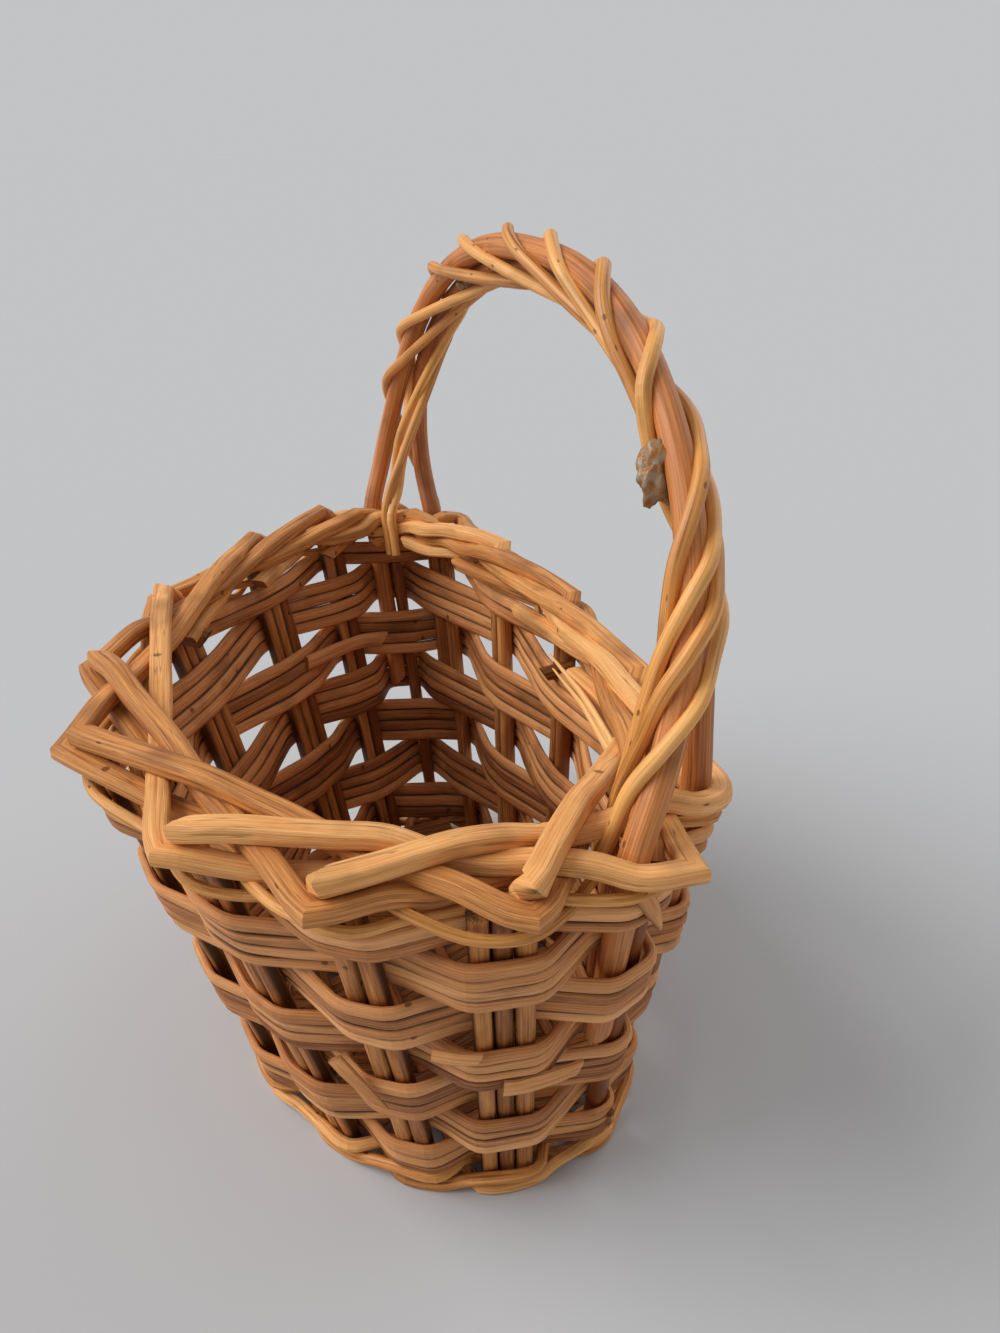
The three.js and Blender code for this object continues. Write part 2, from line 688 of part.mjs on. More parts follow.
const BASE_LEVEL = FOOT_MID + FOOT_D / 2 + GAP + STICK_D / 2;
const BAND_END_LEVEL = BASE_LEVEL + (BASE_BAND_T - STICK_D) / 2;
const BAND_SWING = ((STICK_D + BASE_BAND_T) / 2 + GAP) * 1.1;
const BAND_REST = 9; // a stick nearer than this to the end of a band is passed over
const BAND_GRIP = 3; // and one nearer than this isn't crossed

const baseOutline = STAKES.map((_, s) => beside(s, BASE_LEVEL, 0, -BASE_INSET));

// Where lines parallel to one axis, spread over a width, all lie inside the base
function baseSpan(axis, at, width) {
  const other = axis === 'x' ? 'y' : 'x';
  const spans = [-0.5, 0, 0.5].map((share) => {
    const place = at + share * width;
    const hits = baseOutline.flatMap((p, s) => {
      const q = baseOutline[(s + 1) % COUNT];
      if ((p[axis] - place) * (q[axis] - place) > 0) return [];
      return [p[other] + ((q[other] - p[other]) * (place - p[axis])) / (q[axis] - p[axis])];
    });
    return [Math.min(...hits), Math.max(...hits)];
  });
  return [Math.max(...spans.map(([low]) => low)), Math.min(...spans.map(([, high]) => high))];
}

const baseBox = new THREE.Box3().setFromPoints(baseOutline);
const { lerp } = THREE.MathUtils;
const stickPlaces = BASE_STICKS.map((share) => lerp(baseBox.max.y, baseBox.min.y, share));
const stickRoutes = stickPlaces.map((y) => baseSpan('y', y, STICK_D).map((x) =>
  new THREE.Vector3(x, y, BASE_LEVEL)));
stickRoutes.forEach((route, k) => {
  addMesh(`base_stick_${k + 1}`, rod(route, route.map(() => STICK_D / 2), 6), COLOURS.base);
});

const firstBand = baseBox.min.x + BASE_EDGE + BASE_BAND_W / 2;
const bandPitch = (baseBox.max.x - BASE_EDGE - BASE_BAND_W / 2 - firstBand) / (BASE_BANDS - 1);
const bandRoutes = Array.from({ length: BASE_BANDS }, (_, n) => {
  const x = firstBand + n * bandPitch;
  let [front, back] = baseSpan('x', x, BASE_BAND_W);
  const clear = STICK_D / 2 + GAP;
  for (const y of stickPlaces) {
    if (y >= back - BAND_GRIP) back = Math.min(back, y - clear);
    if (y <= front + BAND_GRIP) front = Math.max(front, y + clear);
  }
  const crossed = stickPlaces.map((y, k) => ({ y, k })).filter(({ y }) => y < back && y > front);
  const nearEnd = ({ y }) => Math.min(back - y, y - front) < BAND_REST;
  const over = (stick) => nearEnd(stick) || (n + stick.k) % 2 === 1;
  const levelAt = (stick) => BASE_LEVEL + (over(stick) ? BAND_SWING : -BAND_SWING);
  const bends = crossed.flatMap((stick) => [1, -1].map((step) =>
    new THREE.Vector3(x, stick.y + step, levelAt(stick))));
  const end = (y, stick) => new THREE.Vector3(x, y, nearEnd(stick) ? levelAt(stick) : BAND_END_LEVEL);
  return [end(back, crossed[0]), ...bends, end(front, crossed.at(-1))];
});
bandRoutes.forEach((route, n) => {
  const [w, t] = [BASE_BAND_W / 2, BASE_BAND_T / 2];
  const ups = route.map(() => new THREE.Vector3(0, 0, 1));
  const geometry = band(route, ups, [[w, -t], [w, t], [-w, t], [-w, -t]]);
  addMesh(`base_band_${label(n)}`, geometry, COLOURS.base);
});

const footRods = STAKES.flatMap(({ rods }, s) => Array.from({ length: Math.abs(rods) + 1 }, (_, k) => {
  const side = mainSide(s) + Math.sign(rods) * k * ROD_STEP;
  return [0, LOW_ROW_LEVEL].map((z) => beside(s, z, side, 0));
}));
const bandEdges = bandRoutes.flatMap((route) => [-1, 0, 1].map((side) => route.map((p) =>
  p.clone().add(new THREE.Vector3((side * (BASE_BAND_W - BASE_BAND_T)) / 2, 0, 0)))));
easeApart([
  ...footStrands,
  ...footRods.map((route) => heldStrand(route, STAKE_D / 2)),
  ...stickRoutes.map((route) => heldStrand(route, STICK_D / 2)),
  ...bandEdges.map((route) => heldStrand(route, BASE_BAND_T / 2)),
]);
footStrands.forEach(({ points, radii }, k) => {
  // The last point of a turn is the first one again
  addMesh(`foot_strand_${'abc'[k]}`, rod(points.slice(1), radii, 5, true), COLOURS.foot);
});

borderStrands.forEach(({ points, radii }, s) => {
  addMesh(`stake_${label(s)}`, rod(points, radii, 6), COLOURS.stake);
});
coreRoutes.forEach((route, k) => {
  addMesh(CORES[k].name, rod(route, route.map(() => CORE_D / 2), 8), COLOURS.core);
});
wrapStrands.forEach(({ points, radii }, k) => {
  addMesh(`handle_wrap_${k + 1}`, rod(points, radii, 6), COLOURS.wrap);
});

// The origin is under the middle of the whole basket
const bounds = new THREE.Box3().setFromObject(group);
const centre = bounds.getCenter(new THREE.Vector3());
for (const mesh of group.children) mesh.geometry.translate(-centre.x, -centre.y, -bounds.min.z);

export default group;
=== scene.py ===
"""Looks of a wall pocket basket: willow stakes, split cane rows, a plaited border and a wound handle.

Every strand follows the same rules as the solids: it is laid by rule round the wall, drawn tight and
pushed clear of its neighbours. Sizes are millimetres until a mesh is made, in metres.
"""

from __future__ import annotations

import logging
import math
from collections.abc import Callable, Sequence
from dataclasses import dataclass, field

import bmesh
import bpy
import numpy as np
from mathutils import Matrix, Vector, noise

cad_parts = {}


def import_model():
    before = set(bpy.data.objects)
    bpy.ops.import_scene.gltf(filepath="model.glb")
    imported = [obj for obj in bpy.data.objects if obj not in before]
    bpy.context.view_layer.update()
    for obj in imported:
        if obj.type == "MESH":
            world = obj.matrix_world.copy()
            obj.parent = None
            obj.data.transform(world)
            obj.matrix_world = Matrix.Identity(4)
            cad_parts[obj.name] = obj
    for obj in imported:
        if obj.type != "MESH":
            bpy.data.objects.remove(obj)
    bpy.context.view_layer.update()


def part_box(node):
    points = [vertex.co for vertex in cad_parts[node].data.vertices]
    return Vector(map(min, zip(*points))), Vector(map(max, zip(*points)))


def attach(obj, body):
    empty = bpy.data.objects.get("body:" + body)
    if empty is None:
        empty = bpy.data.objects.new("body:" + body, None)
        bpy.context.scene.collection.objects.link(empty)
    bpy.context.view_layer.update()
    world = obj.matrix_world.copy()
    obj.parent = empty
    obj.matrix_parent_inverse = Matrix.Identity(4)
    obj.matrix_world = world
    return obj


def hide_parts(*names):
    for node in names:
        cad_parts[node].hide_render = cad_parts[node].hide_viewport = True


LOG = logging.getLogger("basket")
MM = 0.001
UP = np.array([0.0, 0.0, 1.0])
WAVE_HEIGHTS = (1.0, 0.6, 0.35)  # of the waves that are laid over each other, the longest first
WAVE_RATIO = 1.7  # how much shorter each is than the one before
WAVE_SUM = 1.6  # brings their sum back to about one


# Vectors


def unit(v: np.ndarray) -> np.ndarray:
    """Scales vectors to length one.

    Args:
        v: One vector, or one in each row.

    Returns:
        The vectors with length one.
    """
    return v / np.maximum(np.linalg.norm(v, axis=-1, keepdims=True), 1e-12)


def lerp(a: np.ndarray, b: np.ndarray, t: float) -> np.ndarray:
    """Goes from a to b by the share t."""
    return a + (b - a) * t


def wave(rng: np.random.Generator, where: np.ndarray, length: float) -> np.ndarray:
    """Makes a smooth random wave along a strand, about -1 to 1.

    Args:
        rng: The seeded source of its phases.
        where: Distances along the strand.
        length: The longest wave in it.

    Returns:
        The height of the wave at each distance.
    """
    total = np.zeros_like(where, dtype=float)
    for octave, size in enumerate(WAVE_HEIGHTS):
        phase = rng.uniform(0, 2 * math.pi)
        total += size * np.sin(2 * math.pi * where / length * (WAVE_RATIO**octave) + phase)
    return total / WAVE_SUM


# The wall and what stands in it


@dataclass(frozen=True)
class Stake:
    """One stake group: its place, the rods beside the main one, and the handle core beside it."""

    across: float  # place across the half width
    deep: float  # place along the depth, from the back
    rods: int = 0  # rods beside the main one; a minus sign puts them behind it, as the stakes are counted
    core: int = 0  # the side on which a handle core is pushed in, or 0
    bend: float = 0.0  # how far past the main rod the border folds here
    tip: float = 0.0  # how much further out its corner stands, in border thicknesses


STAKES = (
    Stake(-1.0, 0.22, core=1),
    Stake(-0.945, 0.385, rods=1),
    Stake(-0.755, 0.595, rods=2),
    Stake(-0.42, 0.835, rods=2),
    Stake(-0.07, 0.965, rods=1),
    Stake(0.295, 1.0, rods=2),
    Stake(0.675, 0.87, rods=1),
    Stake(0.9, 0.7, rods=1),
    Stake(1.01, 0.49, rods=-2),
    Stake(0.99, 0.26, core=-1, tip=0.45),
    Stake(0.82, 0.09, core=-1, bend=-8.0, tip=-0.45),
    Stake(0.405, 0.03, rods=2, tip=-0.5),
    Stake(-0.03, 0.0, rods=1, tip=-0.5),
    Stake(-0.45, 0.03, rods=1, tip=-0.5),
    Stake(-0.86, 0.085, core=1),
)
COUNT = len(STAKES)
LEFT_FRONT, RIGHT_FRONT, RIGHT_WALL, LEFT_WALL = 0, 9, 10, 14


@dataclass(frozen=True)
class Wall:
    """The tapering D-shaped wall that all strands are laid round."""

    rim_width: float = 252.0
    rim_depth: float = 153.0
    base_width: float = 177.0
    base_depth: float = 112.5
    back_lean: float = 2.0  # how far the foot of the back stands forward of its rim
    height: float = 146.0
    stake_d: float = 5.2
    core_d: float = 7.6
    core_tuck: float = 74.0  # length of a handle core below the rim
    gap: float = 0.35  # air between two pieces that touch

    def rim(self, s: int) -> np.ndarray:
        """Gives the top of the wall line at a stake.

        Args:
            s: The stake.

        Returns:
            The point at rim level.
        """
        stake = STAKES[s % COUNT]
        return np.array([stake.across * self.rim_width / 2, -stake.deep * self.rim_depth, self.height])

    def foot(self, s: int) -> np.ndarray:
        """Gives the bottom of the wall line at a stake.

        Args:
            s: The stake.

        Returns:
            The point at floor level.
        """
        stake = STAKES[s % COUNT]
        depth = -self.back_lean - stake.deep * self.base_depth
        return np.array([stake.across * self.base_width / 2, depth, 0.0])

    def between(self, s: float, pick: Callable[[int], np.ndarray]) -> np.ndarray:
        """Goes evenly from one stake's value to the next one's.

        Args:
            s: Place counted in stakes.
            pick: Gives the value at a stake.

        Returns:
            The value at s.
        """
        low = math.floor(s)
        return lerp(pick(low), pick(low + 1), s - low)

    def at(self, s: float, z: float) -> np.ndarray:
        """Gives the point of the wall line at height z."""
        return lerp(self.between(s, self.foot), self.between(s, self.rim), z / self.height)

    def slope(self, s: float) -> np.ndarray:
        """Gives the direction up the wall."""
        return unit(self.between(s, self.rim) - self.between(s, self.foot))

    def outward_at(self, s: int) -> np.ndarray:
        """Gives the direction square out of the wall at a stake."""
        run = self.rim(s + 1) - self.rim(s - 1)
        return unit(np.array([run[1], -run[0], 0.0]))

    def outward(self, s: float) -> np.ndarray:
        """Gives the direction square out of the wall."""
        return unit(self.between(s, self.outward_at))

    def beside(self, s: float, z: float, side: float, out: float) -> np.ndarray:
        """Gives a point beside the wall line.

        Args:
            s: Place counted in stakes.
            z: Height above the floor.
            side: Distance along the wall, the way the stakes are counted.
            out: Distance outward.

        Returns:
            The point.
        """
        away = self.outward(s)
        along = np.array([-away[1], away[0], 0.0])
        return self.at(s, z) + along * side + away * out

    @property
    def rod_step(self) -> float:
        """Distance between two rods of a group."""
        return self.stake_d + self.gap

    @property
    def core_end(self) -> float:
        """Height of a handle core's lower end."""
        return self.height - self.core_tuck

    def main_side(self, s: int) -> float:
        """Tells where the main rod stands.

        Args:
            s: The stake.

        Returns:
            Its distance along the wall from the middle of its group.
        """
        stake = STAKES[s % COUNT]
        if stake.core:
            return -stake.core * (self.core_d + self.gap) / 2
        return -stake.rods / 2 * self.rod_step

    def core_side(self, s: int) -> float:
        """Distance along the wall from the middle of the group to the handle core."""
        return STAKES[s % COUNT].core * self.rod_step / 2

    def reach(self, s: int, z: float) -> tuple[float, float, float]:
        """Tells how far a group reaches along the wall and out of it.

        Args:
            s: The stake.
            z: Height above the floor.

        Returns:
            Its low and high edge along the wall, and half its thickness.
        """
        stake = STAKES[s % COUNT]
        main = self.main_side(s)
        low = main + min(0, stake.rods) * self.rod_step - self.stake_d / 2
        high = main + max(0, stake.rods) * self.rod_step + self.stake_d / 2
        half = self.stake_d / 2
        if stake.core and z > self.core_end:
            low = min(low, self.core_side(s) - self.core_d / 2)
            high = max(high, self.core_side(s) + self.core_d / 2)
            half = self.core_d / 2
        return low, high, half


# Strands and how they are drawn tight


@dataclass
class Strand:
    """A line of points with a radius at each; held points don't move, tension draws it straight."""

    points: np.ndarray
    radius: float | np.ndarray
    held: bool | np.ndarray = False
    tension: float = 0.0

    def __post_init__(self) -> None:
        """Spreads single values over all points."""
        count = len(self.points)
        self.points = np.asarray(self.points, dtype=float)
        self.radius = np.broadcast_to(np.asarray(self.radius, dtype=float), count).copy()
        self.held = np.broadcast_to(np.asarray(self.held), count).copy()


def still_rod(wall: Wall, s: int, side: float, low: float, high: float) -> Strand:
    """Stands a rod beside a stake that stays in place while others are eased.

    Args:
        wall: The wall.
        s: The stake.
        side: How far along the wall the rod lies from the stake.
        low: Height of its lower end.
        high: Height of its upper end.

    Returns:
        The rod.
    """
    ends = [wall.beside(s, z, side, 0) for z in (low, high)]
    return Strand(np.array(ends), wall.stake_d / 2, True)


@dataclass(frozen=True)
class Easing:
    """Draws strands tight and pushes them apart until each clears its neighbours."""

    rounds: int = 320
    last: int = 100  # rounds at the end in which nothing is drawn tight
    reach: float = 26.0  # pieces whose first points lie further apart than this never meet
    gap: float = 0.45  # air to be left between two strands; below zero they may press together
    ease: float = 0.6  # share of a push that is taken in one round
    least_give: float = 0.25  # keeps a push at a nearly held point small

    def pairs(
        self, points: np.ndarray, first: np.ndarray, owner: np.ndarray, still: np.ndarray
    ) -> tuple[np.ndarray, np.ndarray]:
        """Finds the pairs of pieces that may meet.

        Args:
            points: All points.
            first: Index of the first point of each piece.
            owner: Strand of each piece.
            still: Whether both ends of a piece are held.

        Returns:
            Two arrays with the first points of the pieces of each pair.
        """
        one, two = np.triu_indices(len(first), 1)
        keep = (owner[one] != owner[two]) & ~(still[one] & still[two])
        one, two = one[keep], two[keep]
        near = np.linalg.norm(points[first[one]] - points[first[two]], axis=1) < self.reach
        return first[one[near]], first[two[near]]

    def run(self, strands: Sequence[Strand]) -> None:
        """Moves the free points of the strands.

        Args:
            strands: The strands, changed in place.
        """
        points = np.concatenate([s.points for s in strands])
        radius = np.concatenate([s.radius for s in strands])
        held = np.concatenate([s.held for s in strands])
        tension = np.concatenate([np.full(len(s.points), s.tension) for s in strands])
        starts = np.cumsum([0] + [len(s.points) for s in strands])
        first = np.concatenate([np.arange(a, b - 1) for a, b in zip(starts, starts[1:])])
        owner = np.searchsorted(starts, first, side="right")
        one, two = self.pairs(points, first, owner, held[first] & held[first + 1])
        need = np.maximum(radius[one], radius[one + 1]) + np.maximum(radius[two], radius[two + 1]) + self.gap
        free = (~held).astype(float)
        inner = ~held
        inner[starts[:-1]] = False
        inner[starts[1:] - 1] = False
        inner = np.flatnonzero(inner)
        for turn in range(self.rounds):
            a, c = points[one], points[two]
            u, v, w = points[one + 1] - a, points[two + 1] - c, a - c
            uu, uv, vv = (u * u).sum(1), (u * v).sum(1), (v * v).sum(1)
            uw, vw = (u * w).sum(1), (v * w).sum(1)
            flat = uu * vv - uv * uv
            s = np.where(flat > 1e-9, np.clip((uv * vw - vv * uw) / np.maximum(flat, 1e-9), 0, 1), 0.5)
            t = np.clip((uv * s + vw) / vv, 0, 1)
            s = np.clip((uv * t - uw) / uu, 0, 1)
            apart = w + u * s[:, None] - v * t[:, None]
            now = np.linalg.norm(apart, axis=1)
            hit = np.flatnonzero(now < need)
            s, t, apart, now = s[hit], t[hit], apart[hit], now[hit]
            ends = (
                (one[hit], 1 - s, 1.0),
                (one[hit] + 1, s, 1.0),
                (two[hit], 1 - t, -1.0),
                (two[hit] + 1, t, -1.0),
            )
            give = sum(free[k] * share * share for k, share, _ in ends)
            give = np.maximum(give, self.least_give)
            push = apart * ((need[hit] - now) / np.maximum(now, 1e-6) / give)[:, None]
            moves = np.zeros_like(points)
            weight = np.zeros(len(points))
            for k, share, sign in ends:
                np.add.at(moves, k, push * (free[k] * share * sign)[:, None])
                np.add.at(weight, k, share)
            before = points.copy()
            points += moves * (self.ease * free / np.maximum(1, weight))[:, None]
            if turn < self.rounds - self.last:
                middle = (before[inner - 1] + before[inner + 1]) / 2
                points[inner] += (middle - before[inner]) * tension[inner, None]
        for strand, a, b in zip(strands, starts, starts[1:]):
            strand.points = points[a:b]


def curve_through(points: np.ndarray, step: float) -> np.ndarray:
    """Runs a smooth curve through points.

    Args:
        points: The points.
        step: Distance between the points of the curve.

    Returns:
        Evenly spaced points along the curve.
    """
    padded = np.vstack([2 * points[0] - points[1], points, 2 * points[-1] - points[-2]])
    fine = [points[:1]]
    for p0, p1, p2, p3 in zip(padded, padded[1:], padded[2:], padded[3:]):
        chords = [np.linalg.norm(b - a) for a, b in ((p0, p1), (p1, p2), (p2, p3))]
        t0, t1, t2, t3 = np.cumsum([0.0] + [math.sqrt(max(1e-6, chord)) for chord in chords])
        t = np.linspace(t1, t2, 9)[1:, None]
        a1 = (t1 - t) / (t1 - t0) * p0 + (t - t0) / (t1 - t0) * p1
        a2 = (t2 - t) / (t2 - t1) * p1 + (t - t1) / (t2 - t1) * p2
        a3 = (t3 - t) / (t3 - t2) * p2 + (t - t2) / (t3 - t2) * p3
        b1 = (t2 - t) / (t2 - t0) * a1 + (t - t0) / (t2 - t0) * a2
        b2 = (t3 - t) / (t3 - t1) * a2 + (t - t1) / (t3 - t1) * a3
        fine.append((t2 - t) / (t2 - t1) * b1 + (t - t1) / (t2 - t1) * b2)
    return spread_evenly(np.vstack(fine), step)


def lengths_along(points: np.ndarray) -> np.ndarray:
    """Distance of each point from the first, along the line."""
    return np.concatenate([[0.0], np.cumsum(np.linalg.norm(np.diff(points, axis=0), axis=1))])


def spread_evenly(points: np.ndarray, step: float) -> np.ndarray:
    """Puts points at even distances along a line of points.

    Args:
        points: The line.
        step: About the distance between two points of the result.

    Returns:
        The new points, with the same ends.
    """
    along = lengths_along(points)
    count = max(2, round(along[-1] / step) + 1)
    target = np.linspace(0, along[-1], count)
    return np.stack([np.interp(target, along, points[:, k]) for k in range(3)], axis=1)


def rounded_corners(points: np.ndarray, cut: float, step: float) -> np.ndarray:
    """Rounds the corners of a line of points.

    Args:
        points: The corner points.
        cut: How far before and after a corner the rounding starts.
        step: Distance between the points of the result.

    Returns:
        Evenly spaced points.
    """
    line = [points[0]]
    for before, here, after in zip(points, points[1:], points[2:]):
        to, on = before - here, after - here
        a = here + to * min(0.45, cut / np.linalg.norm(to))
        b = here + on * min(0.45, cut / np.linalg.norm(on))
        for t in np.linspace(0, 1, 5):
            line.append(lerp(lerp(a, here, t), lerp(here, b, t), t))
    line.append(points[-1])
    return spread_evenly(np.array(line), step)


# Bodies swept along strands


@dataclass
class Section:
    """The section of a strand: how wide and thick it is, and how square."""

    width: float | np.ndarray
    thick: float | np.ndarray
    square: float | np.ndarray = 2.0  # 2 is an ellipse, more is squarer
    sides: int = 12

    def ring(self, i: int, count: int) -> np.ndarray:
        """Outline of the section at one point of the strand.

        Args:
            i: Number of the point.
            count: Number of points of the strand.

        Returns:
            Points across and up from the strand's middle.
        """
        sizes = (self.width, self.thick, self.square)
        width, thick, square = (np.broadcast_to(np.asarray(v, float), count)[i] for v in sizes)
        angle = (np.arange(self.sides) + 0.5) / self.sides * 2 * math.pi
        c, s = np.cos(angle), np.sin(angle)
        x = np.sign(c) * np.abs(c) ** (2 / square) * width / 2
        y = np.sign(s) * np.abs(s) ** (2 / square) * thick / 2
        return np.stack([x, y], axis=1)


@dataclass
class Tube:
    """One strand to be swept: its line, section and the way up of the section."""

    points: np.ndarray
    section: Section
    ups: np.ndarray | None = None
    tone: float | np.ndarray = 0.0
    cut: tuple[float, float] = (0.0, 0.0)  # slant of the first and the last end
    closed: bool = False
    roll: float | np.ndarray = 0.0  # turn of the section, in radians
    groove: tuple[float, float] = (0.0, 0.0)  # painted shade on the sides below and above, from 0 to 1
    painted_groove_shade_from: float = 0.74  # share of the half thickness at which the painted shade starts

    def frames(self) -> tuple[np.ndarray, np.ndarray, np.ndarray]:
        """Works out the directions along, across and up at every point.

        Returns:
            Three arrays of unit vectors.
        """
        line = self.points
        if self.closed:
            ahead = np.roll(line, -1, axis=0) - np.roll(line, 1, axis=0)
        else:
            ahead = np.gradient(line, axis=0)
        ahead = unit(ahead)
        if self.ups is None:
            ups = np.empty_like(line)
            up = UP if abs(ahead[0] @ UP) < 0.9 else np.array([0.0, 1.0, 0.0])
            for i, heading in enumerate(ahead):
                up = unit(up - heading * (up @ heading))
                ups[i] = up
        else:
            ups = unit(self.ups - ahead * (self.ups * ahead).sum(1, keepdims=True))
        across = np.cross(ahead, ups)
        roll = np.broadcast_to(np.asarray(self.roll, float), len(line))[:, None]
        turned = across * np.cos(roll) + ups * np.sin(roll)
        return ahead, turned, np.cross(turned, ahead)

    def mitres(self) -> np.ndarray:
        """Tells how much wider the section is at a bend, so that a sharp fold keeps its width.

        Returns:
            A vector across the bend at every point, as long as the share that is added.
        """
        legs = unit(np.diff(self.points, axis=0))
        turn = np.zeros_like(self.points)
        half = np.clip(np.linalg.norm(legs[1:] + legs[:-1], axis=1) / 2, 0.6, 1.0)
        turn[1:-1] = unit(legs[1:] - legs[:-1]) * (1 / half - 1)[:, None]
        return turn

    def rings(self) -> tuple[np.ndarray, np.ndarray]:
        """Works out the corners of the section at every point.

        Returns:
            The place of each corner, and how much painted shade it takes.
        """
        ahead, across, ups = self.frames()
        mitres = self.mitres()
        count = len(self.points)
        places, painted_groove_shades = [], []
        for i in range(count):
            ring = self.section.ring(i, count)
            slant = {0: self.cut[0], count - 1: self.cut[1]}.get(i, 0.0)
            spots = across[i] * ring[:, :1] + ups[i] * ring[:, 1:]
            spots += (spots @ mitres[i])[:, None] * unit(mitres[i])
            spots += self.points[i] + ahead[i] * (ring[:, 1:] * slant)
            # Nothing goes below the floor
            spots[:, 2] = np.maximum(spots[:, 2], 0.0)
            places.append(spots)
            # Painted shade: darker towards the sides that face a neighbour
            rise = np.abs(ring[:, 1]) / np.abs(ring[:, 1]).max()
            depth = np.clip((rise - self.painted_groove_shade_from) / (1 - self.painted_groove_shade_from), 0, 1)
            painted_groove_shades.append(np.where(ring[:, 1] < 0, *self.groove) * depth)
        return np.array(places), np.array(painted_groove_shades)


class Piece:
    """A mesh that takes swept strands and becomes one object."""

    def __init__(self, name: str, shift: np.ndarray) -> None:
        """Starts an empty mesh.

        Args:
            name: Name of the object.
            shift: Millimetres from the wall's frame to the object's frame.
        """
        self.name = name
        self.shift = shift
        self.bm = bmesh.new()
        self.uv = self.bm.loops.layers.uv.new("UVMap")
        self.tone = self.bm.verts.layers.float.new("tone")
        self.groove = self.bm.verts.layers.float.new("groove")
        self.tubes = 0

    def place(
        self, verts: Sequence[bmesh.types.BMVert], places: np.ndarray, painted_groove_shades: np.ndarray, tone: float
    ) -> None:
        """Puts one ring of vertices in its place.

        Args:
            verts: The vertices.
            places: Where they go, in metres.
            painted_groove_shades: How much painted shade each takes.
            tone: How light the strand is there.
        """
        for vert, spot, groove in zip(verts, places, painted_groove_shades):
            vert.co = spot
            vert[self.tone] = tone
            vert[self.groove] = groove

    def sweep(self, tube: Tube) -> None:
        """Extrudes a section along a strand.

        Args:
            tube: The strand with its section.
        """
        places, painted_groove_shades = tube.rings()
        places = (places + self.shift) * MM
        count = len(places)
        along = lengths_along(tube.points) * MM
        tones = np.broadcast_to(np.asarray(tube.tone, float), count)
        # Every strand takes another stretch of the grain
        offset = self.tubes * 0.37 + (sum(map(ord, self.name)) % 89) * 0.113
        self.tubes += 1
        sides = tube.section.sides
        made = bmesh.ops.create_circle(self.bm, cap_ends=True, segments=sides, radius=1.0)
        cap = made["verts"][0].link_faces[0]
        verts = list(cap.verts)
        first = verts
        self.place(verts, places[0], painted_groove_shades[0], tones[0])
        girth = math.pi * float(np.mean(tube.section.width)) * MM / sides
        for i in range(1, count):
            new = bmesh.ops.extrude_face_region(self.bm, geom=[cap])
            cap = next(f for f in new["geom"] if isinstance(f, bmesh.types.BMFace))
            after = list(cap.verts)
            self.place(after, places[i], painted_groove_shades[i], tones[i])
            for k in range(sides):
                m = (k + 1) % sides
                edge = self.bm.edges.get((after[k], after[m]))
                side = next(f for f in edge.link_faces if f is not cap)
                far = {after[k]: (i, k), after[m]: (i, k + 1)}
                near = {verts[k]: (i - 1, k), verts[m]: (i - 1, k + 1)}
                for loop in side.loops:
                    ring, turn = (far | near)[loop.vert]
                    loop[self.uv].uv = (offset + along[ring], turn * girth)
                side.smooth = True
            verts = after
        if tube.closed:
            back = next(f for f in first[0].link_faces if len(f.verts) == sides and f is not cap)
            bmesh.ops.bridge_loops(self.bm, edges=list(cap.edges) + list(back.edges))
            bmesh.ops.delete(self.bm, geom=[f for f in (cap, back) if f.is_valid], context="FACES_ONLY")

    def finish(self, finish: Finish, ends: Finish | None, replaces: Sequence[str], slot: str) -> None:
        """Makes the object, dresses it and sets it on the frame.

        Args:
            finish: The finish of the strands.
            ends: The finish of the cut ends, or None where none shows.
            replaces: The solids that it stands for.
            slot: Not used.
        """
        bmesh.ops.recalc_face_normals(self.bm, faces=self.bm.faces)
        for face in self.bm.faces:
            if len(face.verts) > 4:
                face.material_index = 1 if ends else 0
                for loop in face.loops:
                    loop[self.uv].uv = (loop.vert.co.x + loop.vert.co.z, loop.vert.co.y + loop.vert.co.z)
        mesh = bpy.data.meshes.new(self.name)
        self.bm.to_mesh(mesh)
        self.bm.free()
        mesh.set_sharp_from_angle(angle=math.radians(50))
        mesh.materials.append(finish.material())
        if ends:
            mesh.materials.append(ends.material())
        piece = bpy.data.objects.new(self.name, mesh)
        bpy.context.scene.collection.objects.link(piece)
        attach(piece, "root")
        if replaces:
            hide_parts(*replaces)
        LOG.info("%s: %d faces", self.name, len(mesh.polygons))


# Finishes


def linear(colour: str) -> tuple[float, float, float, float]:
    """Turns an sRGB hex colour to linear light.

    Args:
        colour: Six hex digits.

    Returns:
        Red, green, blue and an alpha of one.
    """
    parts = [int(colour[i : i + 2], 16) / 255 for i in (0, 2, 4)]
    r, g, b = (c / 12.92 if c <= 0.04045 else ((c + 0.055) / 1.055) ** 2.4 for c in parts)
    return (r, g, b, 1.0)


def add_node(
    tree: bpy.types.NodeTree, kind: str, links: dict[str, object] | None = None, **settings: object
) -> bpy.types.Node:
    """Adds a shader node.

    Args:
        tree: The material's node tree.
        kind: The node's type.
        links: What goes into its sockets, by name or number: an output socket or a plain value.
        settings: Its own settings.

    Returns:
        The node.
    """
    node = tree.nodes.new(kind)
    for key, value in settings.items():
        setattr(node, key, value)
    for key, value in (links or {}).items():
        socket = node.inputs[int(key)] if key.isdigit() else node.inputs[key]
        if isinstance(value, bpy.types.NodeSocket):
            tree.links.new(value, socket)
        else:
            socket.default_value = value
    return node


